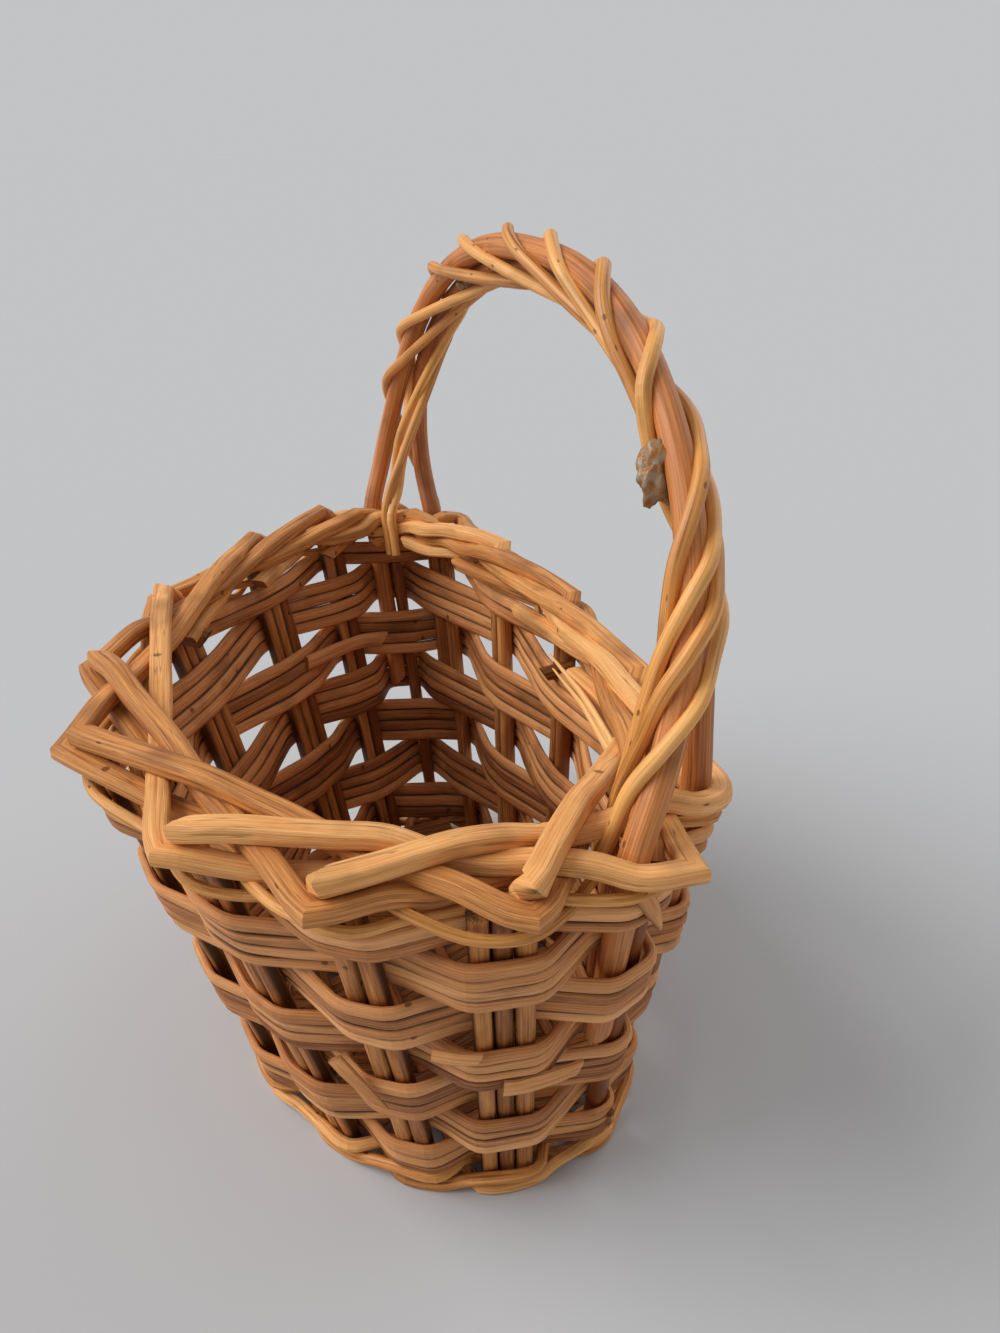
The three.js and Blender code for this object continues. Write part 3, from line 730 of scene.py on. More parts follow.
@dataclass(frozen=True)
class Finish:
    """Peeled willow or split cane: straight fibres, dark grain lines, stains, knots and a dull sheen.

    The strand's own UV map runs along it and round it, in metres. Two attributes come with the mesh:
    tone makes one strand lighter or darker than the next, and the second marks the sides that face a
    neighbour, which are darkened there as painted shade.
    """

    name: str
    light: str
    mid: str
    dark: str
    fibre: float = 0.8  # millimetres across one fibre
    fibre_long: float = 24.0  # millimetres along one fibre
    contrast: float = 0.6  # between light and dark fibres
    lines: float = 0.55  # strength of the dark grain lines
    stain: float = 0.35  # strength of the stains
    knots: float = 0.0  # share of the possible places that hold a knot
    bump: float = 0.16  # millimetres that the fibres stand out
    roughness: float = 0.5
    gloss: float = 0.28
    uneven: float = 0.14  # how far the roughness goes up and down
    streaks: float = 0.45  # strength of the streaks, as a share of the contrast
    strands: float = 0.3  # how far one strand's tone differs from the next
    ramp: tuple[float, float, float] = (0.2, 0.52, 0.86)  # places of the dark, mid and light colour
    stain_size: tuple[float, float] = (34.0, 21.0)  # millimetres along and across
    groove: float = 0.94  # how dark the painted shade on the sides that face a neighbour is
    knot_grid: tuple[float, float] = (120.0, 210.0)  # possible places per metre, along and across
    knot_edge: tuple[float, float] = (0.13, 0.07)  # where a knot starts and is full, as shares of its place
    knot_colour: str = "4a2611"
    knot_strength: float = 0.7
    knot_depth: float = 0.8
    cache: dict[str, bpy.types.Material] = field(default_factory=dict, compare=False, hash=False)

    def material(self) -> bpy.types.Material:
        """Gives the finish as a material, made once."""
        if self.name not in self.cache:
            self.cache[self.name] = self.make()
        return self.cache[self.name]

    def grains(self, tree: bpy.types.NodeTree, uv: bpy.types.NodeSocket) -> dict[str, bpy.types.NodeSocket]:
        """Adds the noises of the wood.

        Args:
            tree: The material's node tree.
            uv: The strand's own coordinates, in metres.

        Returns:
            The noises by name, each about 0.5 on average.
        """
        sizes = {
            "fibres": (self.fibre_long, self.fibre, 3.0),
            "lines": (self.fibre_long * 3.0, self.fibre * 1.9, 1.0),
            "streaks": (self.fibre_long * 3.5, self.fibre * 3.2, 2.0),
            "stains": (*self.stain_size, 3.0),
        }
        made = {}
        for name, (along, across, detail) in sizes.items():
            scale = (1 / (along * MM), 1 / (across * MM), 1.0)
            grid = add_node(tree, "ShaderNodeMapping", {"Vector": uv, "Scale": scale})
            inputs = {"Vector": grid.outputs[0], "Scale": 1.0, "Detail": detail, "Roughness": 0.57}
            made[name] = add_node(tree, "ShaderNodeTexNoise", inputs, noise_dimensions="2D").outputs[0]
        return made

    def knot_spots(self, tree: bpy.types.NodeTree, uv: bpy.types.NodeSocket) -> bpy.types.NodeSocket:
        """Adds small dark knots, where leaves and shoots were cut off.

        Args:
            tree: The material's node tree.
            uv: The strand's own coordinates, in metres.

        Returns:
            One in a knot and zero elsewhere.
        """
        inputs = {"Vector": uv, "Scale": (*self.knot_grid, 1.0)}
        grid = add_node(tree, "ShaderNodeMapping", inputs)
        inputs = {"Vector": grid.outputs[0], "Scale": 1.0}
        spots = add_node(tree, "ShaderNodeTexVoronoi", inputs, voronoi_dimensions="2D")
        start, full = self.knot_edge
        inputs = {"Value": spots.outputs["Distance"], "From Min": start, "From Max": full}
        near = add_node(tree, "ShaderNodeMapRange", inputs)
        pick = add_node(tree, "ShaderNodeSeparateColor", {"Color": spots.outputs["Color"]})
        inputs = {"0": pick.outputs[0], "1": 1.0 - self.knots}
        rare = add_node(tree, "ShaderNodeMath", inputs, operation="GREATER_THAN")
        inputs = {"0": near.outputs[0], "1": rare.outputs[0]}
        return add_node(tree, "ShaderNodeMath", inputs, operation="MULTIPLY").outputs[0]

    def make(self) -> bpy.types.Material:
        """Builds the node tree.

        Returns:
            The material.
        """
        made = bpy.data.materials.new(self.name)
        made.use_nodes = True
        tree = made.node_tree
        tree.nodes.clear()
        uv = add_node(tree, "ShaderNodeUVMap", uv_map="UVMap").outputs["UV"]
        tone = add_node(tree, "ShaderNodeAttribute", attribute_name="tone").outputs["Fac"]
        # Painted shade on the sides that face a neighbour, carried by the mesh
        groove = add_node(tree, "ShaderNodeAttribute", attribute_name="groove").outputs["Fac"]
        grain = self.grains(tree, uv)
        # Fibres, streaks and the strand's own tone add up to a place on the ramp, 0.54 on average
        shade = 0.54 - self.contrast * 0.72
        shares = (
            (grain["fibres"], self.contrast),
            (grain["streaks"], self.contrast * self.streaks),
            (tone, self.strands),
        )
        for source, share in shares:
            inputs = {"0": source, "1": share, "2": shade}
            shade = add_node(tree, "ShaderNodeMath", inputs, operation="MULTIPLY_ADD").outputs[0]
        ramp = add_node(tree, "ShaderNodeValToRGB", {"Fac": shade})
        dark, mid, light = self.ramp
        ramp.color_ramp.elements[0].position = dark
        ramp.color_ramp.elements[0].color = linear(self.dark)
        ramp.color_ramp.elements[1].position = light
        ramp.color_ramp.elements[1].color = linear(self.light)
        ramp.color_ramp.elements.new(mid).color = linear(self.mid)
        # A grain line runs where its noise passes the middle value
        off = add_node(tree, "ShaderNodeMath", {"0": grain["lines"], "1": 0.5}, operation="SUBTRACT")
        off = add_node(tree, "ShaderNodeMath", {"0": off.outputs[0]}, operation="ABSOLUTE")
        # Each mask: its source, the values at which it starts and is full, and its strength
        masks = (
            (off.outputs[0], 0.018, 0.0, self.lines),
            (grain["stains"], 0.55, 0.72, self.stain),
            # Painted shade on the sides that face a neighbour
            (groove, 0.1, 0.9, self.groove),
        )
        colour = ramp.outputs["Color"]
        for source, low, high, most in masks:
            inputs = {"Value": source, "From Min": low, "From Max": high, "To Max": most}
            amount = add_node(tree, "ShaderNodeMapRange", inputs).outputs[0]
            inputs = {"Factor": amount, "6": colour, "7": linear(self.deep)}
            colour = add_node(tree, "ShaderNodeMix", inputs, data_type="RGBA").outputs[2]
        height = grain["fibres"]
        if self.knots:
            knot = self.knot_spots(tree, uv)
            inputs = {"0": knot, "1": self.knot_strength}
            faint = add_node(tree, "ShaderNodeMath", inputs, operation="MULTIPLY").outputs[0]
            inputs = {"Factor": faint, "6": colour, "7": linear(self.knot_colour)}
            colour = add_node(tree, "ShaderNodeMix", inputs, data_type="RGBA").outputs[2]
            inputs = {"0": knot, "1": -self.knot_depth, "2": height}
            height = add_node(tree, "ShaderNodeMath", inputs, operation="MULTIPLY_ADD").outputs[0]
        inputs = {"Height": height, "Distance": self.bump * MM, "Strength": 1.0}
        bump = add_node(tree, "ShaderNodeBump", inputs).outputs[0]
        low, high = self.roughness - self.uneven, self.roughness + self.uneven
        inputs = {"Value": grain["streaks"], "To Min": low, "To Max": high}
        rough = add_node(tree, "ShaderNodeMapRange", inputs).outputs[0]
        inputs = {"Base Color": colour, "Roughness": rough, "Normal": bump, "IOR": 1.48}
        inputs["Specular IOR Level"] = self.gloss
        shader = add_node(tree, "ShaderNodeBsdfPrincipled", inputs)
        add_node(tree, "ShaderNodeOutputMaterial", {"Surface": shader.outputs[0]})
        return made

    @property
    def deep(self) -> str:
        """Colour of lines, stains and the painted shade between neighbours: the dark colour, darker still.
        """
        return "".join(f"{int(int(self.dark[k : k + 2], 16) * 0.62):02x}" for k in (0, 2, 4))


# Peeled willow of the border: warm tan with fine straight grain, its flat faces a little silky
BORDER_WILLOW = Finish(
    "border_peeled_willow",
    "fcc17c",
    "da9452",
    "8a4d24",
    fibre=0.42,
    contrast=0.64,
    lines=0.55,
    stain=0.42,
    knots=0.06,
    bump=0.26,
    roughness=0.48,
)
# Split cane of the rows: tan, finely ribbed by its fibres, dull
ROW_CANE = Finish(
    "split_cane",
    "f2b073",
    "cb864e",
    "7e4726",
    fibre=0.34,
    contrast=0.6,
    lines=0.34,
    stain=0.45,
    knots=0.025,
    bump=0.36,
    roughness=0.56,
)
# Stakes in the wall: the same willow, browner and dull, with coarse dark grain; made darker in part as
# painted shade of their place between the rows
STAKE_WILLOW = Finish(
    "stake_willow", "da9855", "ab6a36", "603417", contrast=0.72, lines=0.5, stain=0.4, knots=0.05
)
# Thin twine under the border: yellower, smooth
TWINE_WILLOW = Finish("twine_willow", "f9bb70", "cd8c48", "7f491d", contrast=0.8, stain=0.3, knots=0.04)
# Foot strands: thin yellowish rods
FOOT_WILLOW = Finish("foot_willow", "f7b873", "cb8745", "7a431a", contrast=0.85, stain=0.4, knots=0.05)
# Handle cores: reddish brown willow, mottled, smooth and a little shiny
CORE_WILLOW = Finish(
    "core_willow",
    "e19a58",
    "b97039",
    "6d3a19",
    fibre=0.7,
    fibre_long=40.0,
    contrast=0.75,
    lines=0.25,
    stain=0.5,
    knots=0.07,
    bump=0.12,
    roughness=0.5,
    gloss=0.4,
)
# Wraps: yellow tan willow, thin, smooth and glossy, with small dark knots
WRAP_WILLOW = Finish(
    "wrap_willow",
    "ffc777",
    "e09b50",
    "8f5220",
    fibre=0.9,
    fibre_long=45.0,
    contrast=0.7,
    lines=0.35,
    stain=0.35,
    knots=0.12,
    bump=0.1,
    roughness=0.42,
    gloss=0.45,
)
# Base cane: the split cane made a dull, darker brown as painted shade, as it never lies in bright light
PAINTED_SHADE_BASE_CANE = Finish("base_cane", "c0834a", "98602f", "562f12", contrast=0.8, roughness=0.6)
# Cut ends: the pith and open pores of willow, darker and rough
CUT_END = Finish(
    "cut_willow_end",
    "b98048",
    "7f4b22",
    "371a0a",
    fibre=0.5,
    fibre_long=0.6,
    contrast=0.9,
    stain=0.5,
    roughness=0.7,
)


@dataclass(frozen=True)
class GlueFinish:
    """Dried hot glue: cloudy, amber where it is thick and grey where dust has stuck to it."""

    name: str = "dried_hot_glue"
    grey: str = "97866b"
    amber: str = "9a6428"
    lump: float = 2.2  # millimetres across one bubble or crust
    ramp: tuple[float, float] = (0.4, 0.58)  # places of amber and grey
    bump: float = 0.5
    roughness: float = 0.34

    def make(self) -> bpy.types.Material:
        """Builds the node tree.

        Returns:
            The material.
        """
        made = bpy.data.materials.new(self.name)
        made.use_nodes = True
        tree = made.node_tree
        tree.nodes.clear()
        place = add_node(tree, "ShaderNodeTexCoord").outputs["Object"]
        inputs = {"Vector": place, "Scale": 1 / (self.lump * MM), "Detail": 4.0}
        crust = add_node(tree, "ShaderNodeTexNoise", inputs)
        ramp = add_node(tree, "ShaderNodeValToRGB", {"Fac": crust.outputs[0]})
        ramp.color_ramp.elements[0].position = self.ramp[0]
        ramp.color_ramp.elements[0].color = linear(self.amber)
        ramp.color_ramp.elements[1].position = self.ramp[1]
        ramp.color_ramp.elements[1].color = linear(self.grey)
        inputs = {"Height": crust.outputs[0], "Distance": self.bump * MM, "Strength": 1.0}
        bump = add_node(tree, "ShaderNodeBump", inputs).outputs[0]
        inputs = {"Base Color": ramp.outputs[0], "Roughness": self.roughness, "Normal": bump, "IOR": 1.49}
        shader = add_node(tree, "ShaderNodeBsdfPrincipled", inputs)
        add_node(tree, "ShaderNodeOutputMaterial", {"Surface": shader.outputs[0]})
        return made


# The assemblies


@dataclass(frozen=True)
class Turn:
    """One turn of a weaver round the wall, outside one stake and inside the next."""

    wall: Wall
    level: float  # height of the weaver's middle
    half_thick: float
    starts_outside: bool  # whether it passes outside the first stake
    top: float  # height at which the stakes' thickness is taken
    edge: float = 0.8  # how far past a stake it leaves it
    rest: float = 0.06  # how far its ends lie from the middle between two stakes, in stakes

    def out_for(self, s: int, outside: bool) -> float:
        """Tells how far out the weaver passes a stake.

        Args:
            s: The stake.
            outside: Whether it passes outside it.

        Returns:
            The distance outward, below zero inside the stake.
        """
        away = self.wall.reach(s, self.top)[2] + self.half_thick + self.wall.gap
        return away if outside else -away

    def corners(self) -> tuple[np.ndarray, np.ndarray]:
        """Works out where the weaver bends.

        Returns:
            Its corner points and the wall's slope at each.
        """
        middle = RIGHT_WALL - 0.5
        end = 0.0 if self.starts_outside else self.out_for(RIGHT_WALL, False)
        places = [(middle + self.rest, 0.0, end)]
        for k in range(COUNT):
            s = (RIGHT_WALL + k) % COUNT
            low, high, _ = self.wall.reach(s, self.top)
            out = self.out_for(s, (k % 2 == 0) == self.starts_outside)
            places += [(s, low - self.edge, out), (s, high + self.edge, out)]
        places.append((middle - self.rest, 0.0, end))
        points = [self.wall.beside(s, self.level, side, out) for s, side, out in places]
        return np.array(points), np.array([self.wall.slope(s) for s, _, _ in places])


@dataclass
class Rows:
    """The weaver rows: bands of split canes lying one on another."""

    wall: Wall
    shift: np.ndarray
    cane_w: float = 4.8
    cane_t: float = 2.8
    canes: tuple[int, ...] = (2, 4, 4, 4, 4, 4, 3)
    top_drop: float = 16.0
    low_level: float = 18.0
    low_pitch: float = 17.5
    low_spread: float = 1.2  # the lowest row's canes lie further apart
    low_sag: float = 1.0  # and a little lower
    bend: float = 3.4  # how far before and after a corner a row bends
    square: float = 2.7

    def half(self, row: int) -> float:
        """Half the height of a row."""
        return self.canes[row] * self.cane_w / 2

    def levels(self) -> list[float]:
        """Spaces the rows, evenly between the top one and the lowest one.

        Returns:
            The heights of their middles, from the top down.
        """
        top = self.wall.height - self.top_drop
        second = top - self.half(0) - self.half(1) - self.wall.gap
        last = len(self.canes) - 1
        between = [
            lerp(second, self.low_level + self.low_pitch, (row - 1) / (last - 2)) for row in range(1, last)
        ]
        return [top, *between, self.low_level]

    def route(self, row: int) -> tuple[np.ndarray, np.ndarray]:
        """Gives the corner points of a row and the slope at each."""
        z = self.levels()[row]
        return Turn(self.wall, z, self.cane_t / 2, row % 2 == 0, z + self.half(row)).corners()

    def build(self) -> None:
        """Makes every row as an object of its own."""
        for row, count in enumerate(self.canes):
            rng = np.random.default_rng(400 + row)
            corners, slopes = self.route(row)
            line = rounded_corners(corners, self.bend, 2.2)
            where = lengths_along(line)
            marks = lengths_along(corners)
            marks *= where[-1] / marks[-1]
            ups = unit(np.stack([np.interp(where, marks, slopes[:, k]) for k in range(3)], axis=1))
            piece = Piece(f"cane_row_{row + 1}", self.shift)
            out = unit(np.cross(np.gradient(line, axis=0), ups))
            lowest = row == len(self.canes) - 1
            cane_w = self.cane_w * (self.low_spread if lowest else 1.0)
            sag = self.low_sag if lowest else 0.0
            for k in range(count):
                height = (k - (count - 1) / 2) * cane_w - sag
                lift = height + 0.16 * wave(rng, where, 90.0)
                push = 0.22 * wave(rng, where, 70.0)
                points = line + ups * lift[:, None] + out * push[:, None]
                width = cane_w * (1.0 + 0.04 * wave(rng, where, 60.0)) + 0.1
                thick = self.cane_t * (0.92 + 0.07 * wave(rng, where, 50.0))
                roll = 0.12 * wave(rng, where, 110.0)
                tone = rng.uniform(-0.9, 0.9)
                # Painted shade on the sides that face the next cane, lighter under the lowest cane, none
                # above the top one
                groove = (0.6 if k == 0 else 1.0, 0.0 if k == count - 1 else 1.0)
                section = Section(thick, width, self.square)
                piece.sweep(Tube(points, section, ups, tone=tone, roll=roll, groove=groove))
            piece.finish(ROW_CANE, CUT_END, [f"weaver_row_{row + 1}"], "split_cane")


@dataclass
class Twine:
    """Two thin rods that swap sides between the stakes, under the border."""

    wall: Wall
    rows: Rows
    shift: np.ndarray
    thick: float = 2.8
    cross: float = 0.35  # place of the crossing between two stakes
    edge: float = 0.8
    tension: float = 0.1

    @property
    def swap(self) -> float:
        """How far a rod rises or falls where the two cross."""
        return self.thick / 2 + self.wall.gap

    @property
    def level(self) -> float:
        """Height of the twine's middle, just above the top row."""
        top = self.rows.levels()[0] + self.rows.half(0)
        return top + self.wall.gap + self.thick / 2 + self.swap

    def crossing(self, s: int) -> np.ndarray:
        """Finds where the two rods cross.

        Args:
            s: The stake before the crossing.

        Returns:
            The point.
        """
        after = (s + 1) % COUNT
        start = self.wall.beside(s, self.level, self.wall.reach(s, self.level)[1] + self.edge, 0)
        end = self.wall.beside(after, self.level, self.wall.reach(after, self.level)[0] - self.edge, 0)
        return lerp(start, end, self.cross)

    def strands(self) -> list[Strand]:
        """Lays the two rods by rule.

        Returns:
            The rods before they are drawn tight.
        """
        made = []
        for starts_outside in (True, False):
            corners, _ = Turn(self.wall, self.level, self.thick / 2, starts_outside, self.level).corners()
            step = self.swap if starts_outside else -self.swap
            points, held = [corners[0] + UP * step], [True]
            for k in range(COUNT):
                s = (RIGHT_WALL + k) % COUNT
                firm = bool(STAKES[s].core)
                points += [corners[2 * k + 1], corners[2 * k + 2]]
                held += [firm, firm]
                if k < COUNT - 1:
                    going_out = (k % 2 == 0) != starts_outside
                    points.append(self.crossing(s) + UP * self.swap * (1 if going_out else -1))
                    held.append(False)
            points.append(corners[-1] + UP * step)
            held.append(True)
            made.append(Strand(np.array(points), self.thick / 2, np.array(held), self.tension))
        return made

    def build(self, strands: Sequence[Strand]) -> None:
        """Makes both rods.

        Args:
            strands: The rods after they were drawn tight.
        """
        for k, strand in enumerate(strands):
            rng = np.random.default_rng(500 + k)
            line = curve_through(strand.points, 2.6)
            where = lengths_along(line)
            piece = Piece(f"rim_twine_rod_{'ab'[k]}", self.shift)
            size = self.thick * (1.02 + 0.07 * wave(rng, where, 120.0))
            piece.sweep(Tube(line, Section(size, size * 0.96, 2.2, 9), tone=0.25 - 0.3 * k))
            piece.finish(TWINE_WILLOW, CUT_END, [f"rim_twine_{'ab'[k]}"], "twine")


@dataclass
class Handle:
    """Two cores in an arch, and the thin rods wound round them."""

    wall: Wall
    shift: np.ndarray
    wrap_d: float = 3.7
    arch_height: float = 113.0
    half_width: float = 127.0
    arch_shift: float = -12.0
    squareness: float = 2.35  # 2 is an ellipse, more is squarer
    set_back: float = 28.0  # in front of the back stakes at rim level
    lean: float = 0.13  # towards the wall, per unit of height
    core_spread: float = 70.0  # height above the rim at which the cores come together
    twist: float = 1.0  # turn of the pair of cores, in radians
    twist_share: float = 0.55  # share of the arch over which it turns
    # Where a wrap crosses the outside of the arch; the wraps take turns
    crowns: tuple[float, ...] = (0.09, 0.2, 0.26, 0.32, 0.44, 0.54, 0.65, 0.735, 0.8, 0.845, 0.88, 0.93)
    wraps: int = 4
    wrap_start: float = 5.0  # height above the rim at which a wrap leaves the cores at the right
    wrap_tuck: float = 12.0  # length tucked in below the rim
    wrap_inside: float = 6.8  # from the wall to a right end, inside
    wrap_step: float = 10.0
    wrap_square: float = 3.0  # 0 winds in an ellipse, more lies closer to the sides of the cores
    tension: float = 0.05
    lead: float = 36.0  # height above the rim below which a wrap runs straight to its left end
    # Place of each wrap's end, counted in stakes, and at the left how far out it is
    left_ends: tuple[tuple[float, float], ...] = ((14.15, 5.6), (14.45, -16.5), (14.7, -17.0), (14.75, 2.0))
    right_ends: tuple[float, ...] = (9.34, 9.2, 9.06, 8.9)
    look_d: float = 3.95
    steps: int = 26

    def arch(self, share: float) -> np.ndarray:
        """Gives a point of the arch's middle line.

        Args:
            share: Place along the arch, from 0 at the left to 1.

        Returns:
            The point.
        """
        angle = math.pi * (1 - share)
        power = 2 / self.squareness
        x = math.copysign(abs(math.cos(angle)) ** power, math.cos(angle)) * self.half_width
        height = self.arch_height * abs(math.sin(angle)) ** power
        y = -self.set_back + self.lean * height
        return np.array([self.arch_shift + x, y, self.wall.height + height])

    def run(self, share: float) -> np.ndarray:
        """Gives a short step along the arch."""
        return self.arch(min(1.0, share + 0.01)) - self.arch(max(0.0, share - 0.01))

    def out(self, share: float) -> np.ndarray:
        """Gives the direction away from the middle of the arch, square to its run."""
        ahead = self.run(share)
        return unit(np.array([-ahead[2], 0.0, ahead[0]]))

    def core_point(self, wall_core: bool, share: float) -> np.ndarray:
        """Gives a point on one of the cores.

        Args:
            wall_core: Whether it is the core at the wall side.
            share: Place along the arch.

        Returns:
            The point.
        """
        point = self.arch(share)
        ends = (LEFT_WALL, RIGHT_WALL) if wall_core else (LEFT_FRONT, RIGHT_FRONT)
        s = ends[0] if share < 0.5 else ends[1]
        near = max(0.0, 1 - (point[2] - self.wall.height) / self.core_spread) ** 2
        seat = self.wall.beside(s, self.wall.height, self.wall.core_side(s), 0)
        pull = seat - self.arch(0.0 if share < 0.5 else 1.0)
        twist = self.twist * min(1.0, share / self.twist_share)
        apart = np.array([0.0, math.cos(twist), 0.0]) - self.out(share) * math.sin(twist)
        side = (self.wall.core_d + self.wall.gap) if wall_core else 0.0
        return point + apart * (1 - near) * side + pull * near

    def core_leg(self, s: int) -> list[np.ndarray]:
        """Lays the stretch of a core that is pushed down beside a corner stake.

        Args:
            s: The stake.

        Returns:
            Its points, from the lower end up.
        """
        wall = self.wall
        heights = [wall.core_end + t * wall.core_tuck for t in (0, 0.5, 0.9)]
        return [wall.beside(s, z, wall.core_side(s), 0) for z in heights]

    def cores(self) -> list[np.ndarray]:
        """Lays the two cores.

        Returns:
            The lines of the front core and the wall core.
        """
        made = []
        for wall_core, left, right in ((False, LEFT_FRONT, RIGHT_FRONT), (True, LEFT_WALL, RIGHT_WALL)):
            arch = [self.core_point(wall_core, k / self.steps) for k in range(self.steps + 1)]
            made.append(np.array([*self.core_leg(left), *arch, *self.core_leg(right)[::-1]]))
        return made

    def shares(self) -> list[tuple[float, float]]:
        """Spaces places evenly along the arch.

        Returns:
            The parameter of each and its share of the length.
        """
        fine = np.linspace(0, 1, 401)
        along = lengths_along(np.array([self.arch(t) for t in fine]))
        steps = round(along[-1] / self.wrap_step)
        target = np.linspace(0, along[-1], steps + 1)
        return [(float(t), n / steps) for n, t in enumerate(np.interp(target, along, fine))]

    def crowns_passed(self, along: float) -> float:
        """Counts the crowns that the wraps have passed.

        Args:
            along: Place along the arch, as a share of its length.

        Returns:
            The count, with the part of the way to the next one.
        """
        last = len(self.crowns) - 2
        after = next((k for k, c in enumerate(self.crowns) if c > along), None)
        k = last if after is None else min(last, max(0, after - 1))
        return k + (along - self.crowns[k]) / (self.crowns[k + 1] - self.crowns[k])

    def wrap_end(self, s: float, out: float) -> list[np.ndarray]:
        """Gives the last points of a wrap, down at the rim."""
        heights = (self.wrap_tuck / 3, -self.wrap_tuck / 3, -self.wrap_tuck)
        return [self.wall.beside(s, self.wall.height + h, 0, out) for h in heights]

    def wound_point(self, n: int, share: float, along: float) -> np.ndarray:
        """Gives a point of a wrap on its way round the two cores.

        Args:
            n: Number of the wrap.
            share: Place along the arch.
            along: The same as a share of the arch's length.

        Returns:
            The point.
        """
        front, back = self.core_point(False, share), self.core_point(True, share)
        across = unit(back - front)
        square = unit(np.cross(self.run(share), across))
        out = self.out(share)
        tilt = math.atan2(out @ across, out @ square)
        angle = 2 * math.pi * (n - self.crowns_passed(along)) / self.wraps + tilt
        ring = (self.wall.core_d + self.wrap_d) / 2 + self.wall.gap
        spread = float(np.linalg.norm(back - front))
        half = max(0.0, self.wall.core_d + self.wall.gap - spread / 2)
        swing = math.tanh(self.wrap_square * math.sin(angle)) / math.tanh(self.wrap_square)
        centre = front + across * half + square * ring * math.cos(angle)
        return centre + across * (half * swing + ring * math.sin(angle))

    def strands(self) -> list[Strand]:
        """Lays the wraps by rule.

        Returns:
            The wraps before they are drawn tight.
        """
        made = []
        for n in range(self.wraps):
            wound = []
            for share, along in self.shares():
                lowest = self.wall.height + (self.lead if share < 0.5 else self.wrap_start)
                if self.core_point(False, share)[2] >= lowest:
                    wound.append(self.wound_point(n, share, along))
            left = self.wrap_end(*self.left_ends[n])[::-1]
            right = self.wrap_end(self.right_ends[n], -self.wrap_inside)[1:]
            lead = [lerp(left[-1], wound[0], t) for t in (0.25, 0.5, 0.75)]
            points = [*left, *lead, *wound, *right]
            held = np.arange(len(points)) < len(left)
            made.append(Strand(np.array(points), self.wrap_d / 2, held, self.tension))
        return made

    def build(self, wraps: Sequence[Strand]) -> None:
        """Makes the cores and the wraps.

        Args:
            wraps: The wraps after they were drawn tight.
        """
        for name, line, tone in zip(("front", "wall"), self.cores(), (0.1, -0.25)):
            rng = np.random.default_rng(600 + len(name))
            smooth = curve_through(line, 3.0)
            where = lengths_along(smooth)
            size = self.wall.core_d * (0.99 + 0.03 * wave(rng, where, 80.0))
            piece = Piece(f"handle_core_rod_{name}", self.shift)
            piece.sweep(Tube(smooth, Section(size, size * 0.97, 2.1, 16), tone=tone, cut=(0.6, -0.6)))
            piece.finish(CORE_WILLOW, CUT_END, [f"handle_core_{name}"], "core_willow")
        for n, strand in enumerate(wraps):
            rng = np.random.default_rng(640 + n)
            smooth = curve_through(strand.points, 2.4)
            where = lengths_along(smooth)
            size = self.look_d * (1.0 + 0.06 * wave(rng, where, 100.0))
            piece = Piece(f"handle_wrap_rod_{n + 1}", self.shift)
            piece.sweep(Tube(smooth, Section(size, size, 2.0, 10), tone=rng.uniform(-0.5, 0.5)))
            piece.finish(WRAP_WILLOW, CUT_END, [f"handle_wrap_{n + 1}"], "wrap_willow")


# Each step of the border: stakes on, which side of the wall, and height in border thicknesses
BORDER_ROUTE = (
    (0.0, 0.0, 0.1),
    (0.05, 0.3, 0.55),
    (0.35, -0.1, 0.9),
    (0.7, -0.8, 0.8),
    (1.0, -1.0, 0.65),
    (1.33, -1.0, 0.4),
    (1.66, -1.0, 0.15),
    (2.0, -1.0, -0.05),
    (2.3, -0.6, -0.1),
    (2.65, 0.3, -0.2),
    (2.9, 1.0, -0.28),
    (3.0, 1.27, -0.32),
    (3.1, 1.0, -0.34),
    (3.4, 0.3, -0.5),
    (3.7, -0.8, -0.8),
    (4.0, -1.6, -1.0),
    (4.3, -1.7, -1.1),
)
BEND_AT = 3  # stakes from a rod to its fold outside the border
SHARP_FOLDS = range(4, 10)  # stakes at the front, where the folds are sharp; the others are round


